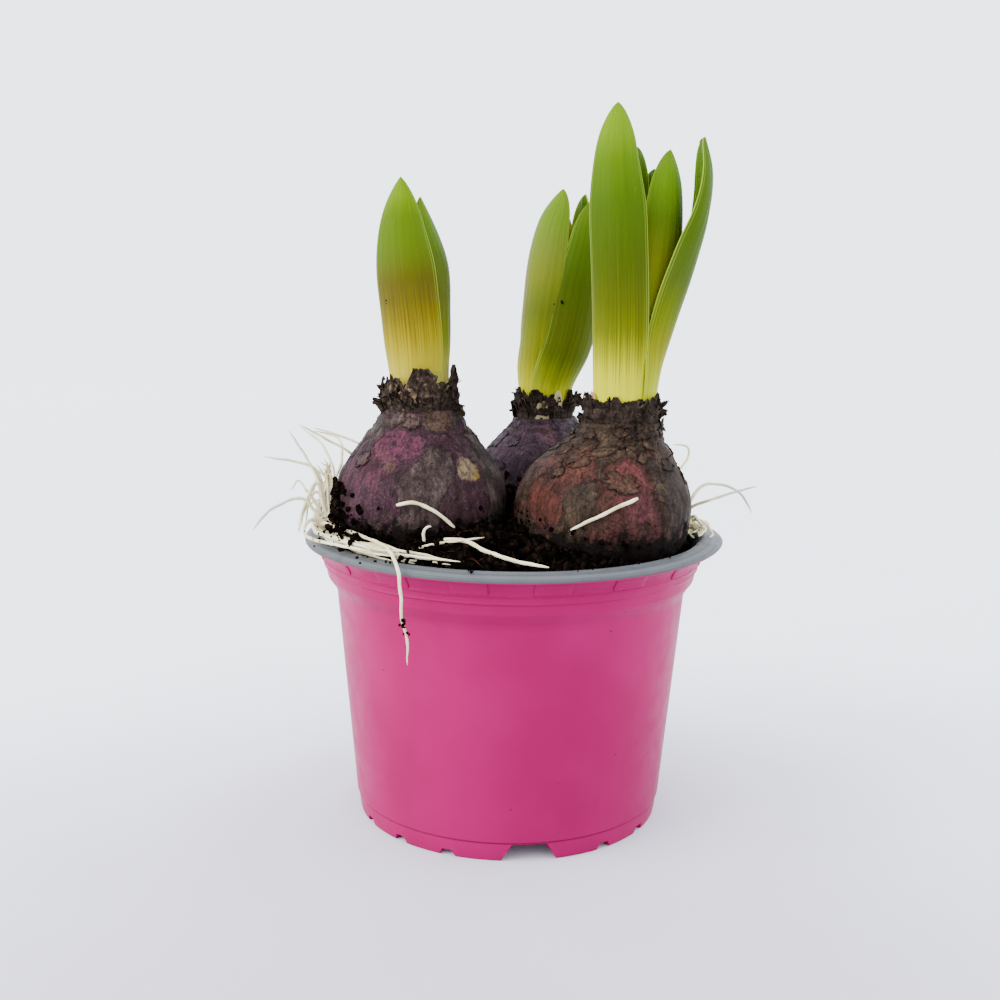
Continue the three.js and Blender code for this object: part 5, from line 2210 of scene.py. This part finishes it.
def bulb_tables() -> tuple[Bulb, ...]:
    """The three bulbs.

    Returns:
        The right, the left and the back bulb.
    """
    right = Bulb(
        "right", (25.6, -16), (30.1, -16), 106,
        ((71, 7.5), (73.5, 13.5), (77.5, 17.6), (82, 21.2), (87.5, 23.6), (93.5, 24.4),
         (98.5, 23.4), (104, 20.5),
         (109, 16.2), (113, 12.5), (117.4, 10.6)),
        TunicFinish("tunic_right", "2a1917", "40241f", "32261c", "17110d", "4e3e2f", (
            Patch((17, -30, 107), 6.5, "502b23", 0.9, 1.2),
            Patch((31.2, -35, 104.5), 5.5, "582b2a", 0.9, 1.2),
            Patch((33.5, -38.3, 97), 6.5, "4e282b", 0.9, 1.0),
            Patch((9, -32.7, 96.4), 6.5, "46211a", 0.9, 1.0),
            Patch((36, -37, 88), 6.0, "3c2020", 0.8, 0.8),
            Patch((24, -38, 94), 5.0, "3e2a20", 0.8, 0.6),
            Patch((18, -37.9, 98), 5.5, "2c241d", 0.8, -0.8),
            Patch((43, -29, 99), 10.0, "16110d", 0.85, -1.0),
            Patch((30, -16, 115), 11.5, "17110e", 0.85, -1.2)),
            soil_height=89.0, seed=1, cracks=0.8),
        64, (101, 117.5), 0.9, 0.10,
        Crown(117.7, 123.0, 2.2, 9.3, 11.0, 34, 3, 0.73, 16, 1.4, (1.8, 3.0), (
            Flap(-148, 120.5, 5.0, 5.6, -1.3, 0.3, 0.30, -0.8),
            Flap(-104, 121.2, 3.2, 3.6, 0.5, 0.1, 0.02),
            Flap(-78, 121.4, 4.0, 2.6, 0.8, 0.2, 0.10, -0.6),
            Flap(-46, 121.2, 2.4, 3.6, 0.6, 0.0, 0.03))), 3,
        (Sheath(-146, 9.7, 3.6, 117, 125.6), Sheath(178, 9.8, 5.0, 116, 124)),
        ("6a4a34", "a07c5c", "bfa684"))
    left = Bulb(
        "left", (-26.0, -9), (-26.0, -9), 108,
        ((71, 7.2), (73.5, 13.2), (77.5, 17.2), (82, 20.8), (87.5, 23.2), (93, 24.1), (99, 23.2),
         (105, 20.3), (110.5, 16.4), (115.5, 12.4), (119.6, 10.0)),
        TunicFinish("tunic_left", "24141a", "38202a", "352926", "181210", "564a42", (
            Patch((-31.5, -23.5, 110.5), 6.5, "4d2534", 0.9, 1.3),
            Patch((-38, -25.6, 104), 6.5, "46242e", 0.9, 1.1),
            Patch((-43, -22, 99), 7.0, "3e222d", 0.9, 0.9),
            Patch((-22, -30.2, 99), 8.0, "3a2e2c", 0.7, -0.6),
            Patch((-12.2, -24.3, 104.6), 3.6, "75644a", 0.95, 0.6),
            Patch((-10.4, -22.8, 102.6), 1.7, "76602a", 0.85),
            Patch((-33.0, -27.4, 105.2), 1.8, "463d22", 0.6),
            Patch((-13, -28.5, 94.0), 7.5, "342024", 0.8, 0.7),
            Patch((-21, -18, 117.5), 4.5, "503a2c", 0.7, -0.4),
            Patch((-29, -20, 116.5), 3.5, "5a453c", 0.7, 0.0)),
            soil_height=90.0, seed=2, cracks=0.35),
        4, (104, 118), 0.8, 0.05,
        Crown(119.9, 126.0, 2.4, 8.8, 10.7, 40, 8, 0.68, 8, 3.0, (2.8, 5.0), (
            Flap(-86, 123.4, 8.0, 8.8, 1.1, 0.15, 0.06, 0.3),
            Flap(-104, 121.6, 5.4, 6.4, 1.9, 0.0, 0.14, 0.3),
            Flap(-70, 121.8, 6.0, 5.8, -0.9, 0.1, 0.08, 0.2),
            Flap(-120, 122.0, 4.4, 6.0, 0.6, 0.1, 0.02),
            Flap(-32, 123.6, 2.4, 8.2, 0.4, 0.05, 0.0, 0.2),
            Flap(-150, 121.0, 5.0, 5.0, 1.0, 0.1, 0.04),
            Flap(-168, 123.4, 2.2, 5.2, -1.2, -0.3, 0.0))), 8,
        (Sheath(-112, 9.9, 3.0, 119.5, 125.0, 1.0),), ("4a3626", "6b5238", "8d7a58"))
    back = Bulb(
        "back", (9.9, 29), (9.9, 29), 105,
        ((70, 6.5), (72.5, 12.0), (76.5, 16.0), (81, 19.2), (86.5, 21.4), (92, 22.0), (97.5, 20.9),
         (102.5, 18.0), (107, 14.0), (110.5, 10.8), (113.4, 9.0)),
        TunicFinish("tunic_back", "281c22", "3d2b33", "3a2f34", "181214", "54484e", (
            Patch((-0.7, 19.9, 106), 7.5, "38252f", 0.85, 0.8),
            Patch((5, 12, 99), 8.0, "2c1e26", 0.8, 0.6),
            Patch((11, 17.6, 109.0), 3.6, "50343a", 0.9, 1.0)), soil_height=88.0, seed=3,
            cracks=0.3),
        8, (98, 112), 0.6, -0.05,
        Crown(114.3, 120.4, 2.8, 7.8, 9.6, 36, 5, 0.72, 8, 3.4, (2.4, 4.4), (
            Flap(-150, 117.6, 4.4, 4.6, 1.3, -0.1, 0.02),
            Flap(-108, 118.4, 4.6, 4.4, 1.0, 0.0, 0.03),
            Flap(-82, 116.4, 3.6, 3.6, 0.9, 0.0, 0.12))), 5,
        (Sheath(-64, 8.5, 3.4, 112, 122.0, 0.2), Sheath(-96, 8.8, 4.4, 111, 119.0, 0.6)),
        ("64583a", "8b7f5c", "a29876"))
    return (right, left, back)


def root_tables() -> tuple[Roots, ...]:
    """Every clump of roots, on the routes of their solids.

    Returns:
        The clumps.
    """
    left = (
        ((-49.8, -13.4, 84), (-52, -14, 90.5), (-54.2, -13.4, 97.5), (-57, -13.4, 104),
         (-62.6, -14, 113)),
        ((-49.8, -12.6, 84), (-52, -9, 92), (-51.8, -2, 100), (-56.4, 4, 107.4), (-62.6, 6, 111.6)),
        ((-49.8, -12.4, 84), (-52.4, -6, 93), (-50.6, 7, 102), (-52.8, 15, 107.4),
         (-60.6, 16, 109.4)),
        ((-50, -13.4, 84), (-52.4, -12.8, 92), (-55.4, -12.6, 102), (-62.4, -14, 104.6),
         (-69.6, -14, 105.6)),
        ((-50, -13.2, 84), (-53.6, -15, 90), (-57.4, -16, 96.4), (-60, -16, 99.4),
         (-61.8, -16, 96.4)),
        ((-50.2, -13.4, 84), (-54, -16, 89), (-58.6, -18, 94.6), (-64.6, -20, 93),
         (-69.4, -20, 89.2), (-72, -20, 85.8)),
        ((-50, -13.6, 84.4), (-52.4, -17.4, 87.6), (-49.4, -22.4, 87.6), (-43, -27.4, 87),
         (-36, -37, 86.6), (-27.4, -46.6, 86)),
        ((-50.4, -13.4, 84.4), (-55, -18.6, 87.4), (-53.6, -24.6, 86.4), (-44.6, -34, 86),
         (-35, -43, 85.8), (-25.4, -45.6, 86)),
        ((-50.2, -13, 84.4), (-56, -17, 88.4), (-57.8, -20, 86.6), (-55.6, -26, 85.2),
         (-47, -35, 85.2), (-36, -45.4, 85.8)),
        *arching_strands(-49.8, -13),
        ((-37.4, -35, 86.8), (-32.6, -42.4, 86.2), (-29.6, -51.8, 85.2), (-28.4, -55, 82.6),
         (-27.6, -55.6, 77), (-27.6, -54.6, 70.4), (-26.4, -54, 66), (-26.2, -52.6, 57.6)),
    )
    right = (
        ((50.4, 5.8, 84), (52.4, 1, 90), (56.6, -2, 92.6), (64, 0, 94.8), (71.8, 2, 96.6)),
        ((50.6, 6, 84), (53, 6.4, 91), (57.4, 8, 95.8), (65, 10, 95), (68.8, 10, 92.8),
         (72.2, 10, 87.2)),
        ((50.2, 6.4, 84), (50.6, 14, 92), (51.6, 20.6, 98.4), (54.4, 22.6, 102.4),
         (53.8, 24, 105.2), (49.6, 24, 105.6)),
        ((50.4, 5.8, 84.4), (53.4, 1, 87.6), (54.6, -5, 86.8), (55.8, -8.6, 85.8),
         (53.8, -13.4, 85.2)),
        ((50.6, 6, 84), (54, 2.4, 86.4), (56.4, -5.6, 86.4), (57.2, -12, 85), (56, -16, 84.8)),
    )
    behind = (((-44, 14, 85), (-43, 13, 95), (-47, 10, 102.5), (-55, 8, 107.8), (-63, 6.5, 112.4)),
              ((-42, 18, 85), (-40, 17, 96), (-44, 15.5, 104), (-52, 15.5, 108),
               (-60.4, 16, 110.4)))
    curl = ((-23, -38, 87), (-23, -38, 89.6), (-22.2, -38, 90.8), (-21, -38, 91.2))
    return (
        Roots("left", left, seed=3, extra=(
            *rim_strands(22, (189, 214), (16, 44), 11), *rim_strands(8, (172, 192), (14, 30), 12),
            *sheaf_strands(18, 13), curl, *behind)),
        Roots("right", right, seed=5, extra=rim_strands(14, (-20, 2), (8, 22), 15)),
        Roots("soil_front", (((-17.4, -41.4, 88.4), (-12.4, -41.6, 88.2), (-6.6, -45.4, 86.4),
                              (1.8, -50.6, 84.8), (9.6, -55.4, 84.5)),),
              thick=0.6, thin=0.44, seed=7,
              extra=(((-24, -44, 86.6), (-19, -42.6, 87.6), (-14, -42.4, 88.2),
                      (-7, -40.8, 89.0)),)),
        Roots("bulb_left_front", (((-30.8, -34, 95.9), (-26.4, -34.4, 96.8), (-21.2, -34, 94.8),
                                   (-14.6, -32.4, 89.4)),), thick=0.52, thin=0.42, seed=8),
        Roots("bulb_right_front", (((33.0, -39.6, 99.8), (24.4, -41.4, 95.9),
                    (15.6, -39.6, 91.0)),),
              thick=0.52, thin=0.42, seed=9),
    )


# ---- Stage


@dataclass(frozen=True)
class Lamp:
    """One soft square light."""

    name: str
    at: Point
    size: float
    power: float


@dataclass
class Studio:
    """The pale floor, the soft lights and the camera."""

    lens: float = 46.8
    distance: float = 374.56
    height: float = 158.36
    pitch: float = 0.176
    yaw: float = -0.009
    roll: float = 0.013
    floor_size: float = 30.0
    floor_colour: str = "e6e9ed"
    floor_far: str = "fdfeff"
    # the colour of the painted soft shadow on the floor in front of the pot
    floor_shadow: str = "b2aab7"
    sky_colour: str = "eef6ff"
    sky_strength: float = 3.7
    lamps: tuple[Lamp, ...] = (
        Lamp("window_left", (-1.0, -0.45, 0.6), 0.9, 26.0),
        Lamp("window_right", (1.0, 0.1, 0.5), 0.7, 6.0))
    aim: Point = (0, 0, 0.09)
    far_reach: float = 1500
    # where the painted shadow lies and how far it reaches, in mm
    shadow_at: Point = (0, -210, 0)
    shadow_reach: float = 420
    sensor: float = 36.0

    def build_floor(self) -> None:
        """A plain pale floor, with a painted soft shadow on it in front of the pot, towards the
        camera.
        """
        deselect()
        bpy.ops.mesh.primitive_plane_add(size=self.floor_size, location=(0, 0, 0))
        floor = bpy.context.object
        floor.name = "floor"
        mat = Recipe("floor_paper", 0.9, 0.0)
        wobble = mat.noise(90, detail=3)
        far = mat.near((0, 0, 0), self.far_reach, wobble, 0.1, 0.15)
        base = mat.over(far, self.floor_far, self.floor_colour)
        # Painted shadow: a soft darker patch round a point in front of the pot.
        front = mat.near(self.shadow_at, self.shadow_reach, wobble, 0.1, 0.1)
        colour = mat.over(mat.times(front, 0.95), base, self.floor_shadow)
        floor.data.materials.append(mat.done(colour))

    def build_lights(self) -> None:
        """An even bright sky and two large soft lights."""
        sky = bpy.data.worlds.new("soft_sky")
        sky.use_nodes = True
        back = sky.node_tree.nodes["Background"]
        back.inputs["Color"].default_value = paint(self.sky_colour)
        back.inputs["Strength"].default_value = self.sky_strength
        bpy.context.scene.world = sky
        for lamp in self.lamps:
            deselect()
            bpy.ops.object.light_add(type="AREA", location=lamp.at)
            light = bpy.context.object
            light.name = lamp.name
            light.data.shape = "SQUARE"
            light.data.size = lamp.size
            light.data.energy = lamp.power
            toward = Vector(self.aim) - Vector(lamp.at)
            light.rotation_euler = toward.to_track_quat("-Z", "Y").to_euler()

    def build_camera(self) -> None:
        """The camera at the photograph's viewing angle."""
        level = cos(self.pitch)
        ahead = Vector((sin(self.yaw) * level, cos(self.yaw) * level, -sin(self.pitch)))
        right = Vector((cos(self.yaw), -sin(self.yaw), 0))
        up = right.cross(ahead)
        across = right * cos(self.roll) + up * sin(self.roll)
        upward = up * cos(self.roll) - right * sin(self.roll)
        view = bpy.data.cameras.new("view")
        view.lens = self.lens
        view.sensor_width = self.sensor
        view.sensor_fit = "HORIZONTAL"
        camera = bpy.data.objects.new("camera", view)
        bpy.context.scene.collection.objects.link(camera)
        grid = Matrix((across, upward, -ahead)).transposed().to_4x4()
        grid.translation = Vector((0, -self.distance * MM, self.height * MM))
        camera.matrix_world = grid
        bpy.context.scene.camera = camera


def main() -> None:
    """Builds every piece in order."""
    logging.basicConfig(level=logging.INFO, format="%(relativeCreated)d %(message)s")
    noise.seed_set(NOISE_SEED)
    studio = Studio()
    studio.build_camera()
    studio.build_floor()
    studio.build_lights()
    Pot().build()
    bulbs = bulb_tables()
    leaves = leaf_tables()
    buds = bud_tables()
    for bulb in bulbs:
        bulb.build()
        buds[bulb.place].build(bulb)
        for blade in leaves[bulb.place]:
            blade.build(bulb)
    soil = Soil()
    soil.build_bed()
    soil.build_crumbs(bulbs)
    soil.build_fibres(bulbs)
    for roots in root_tables():
        roots.build()


if __name__ == "__main__":
    main()
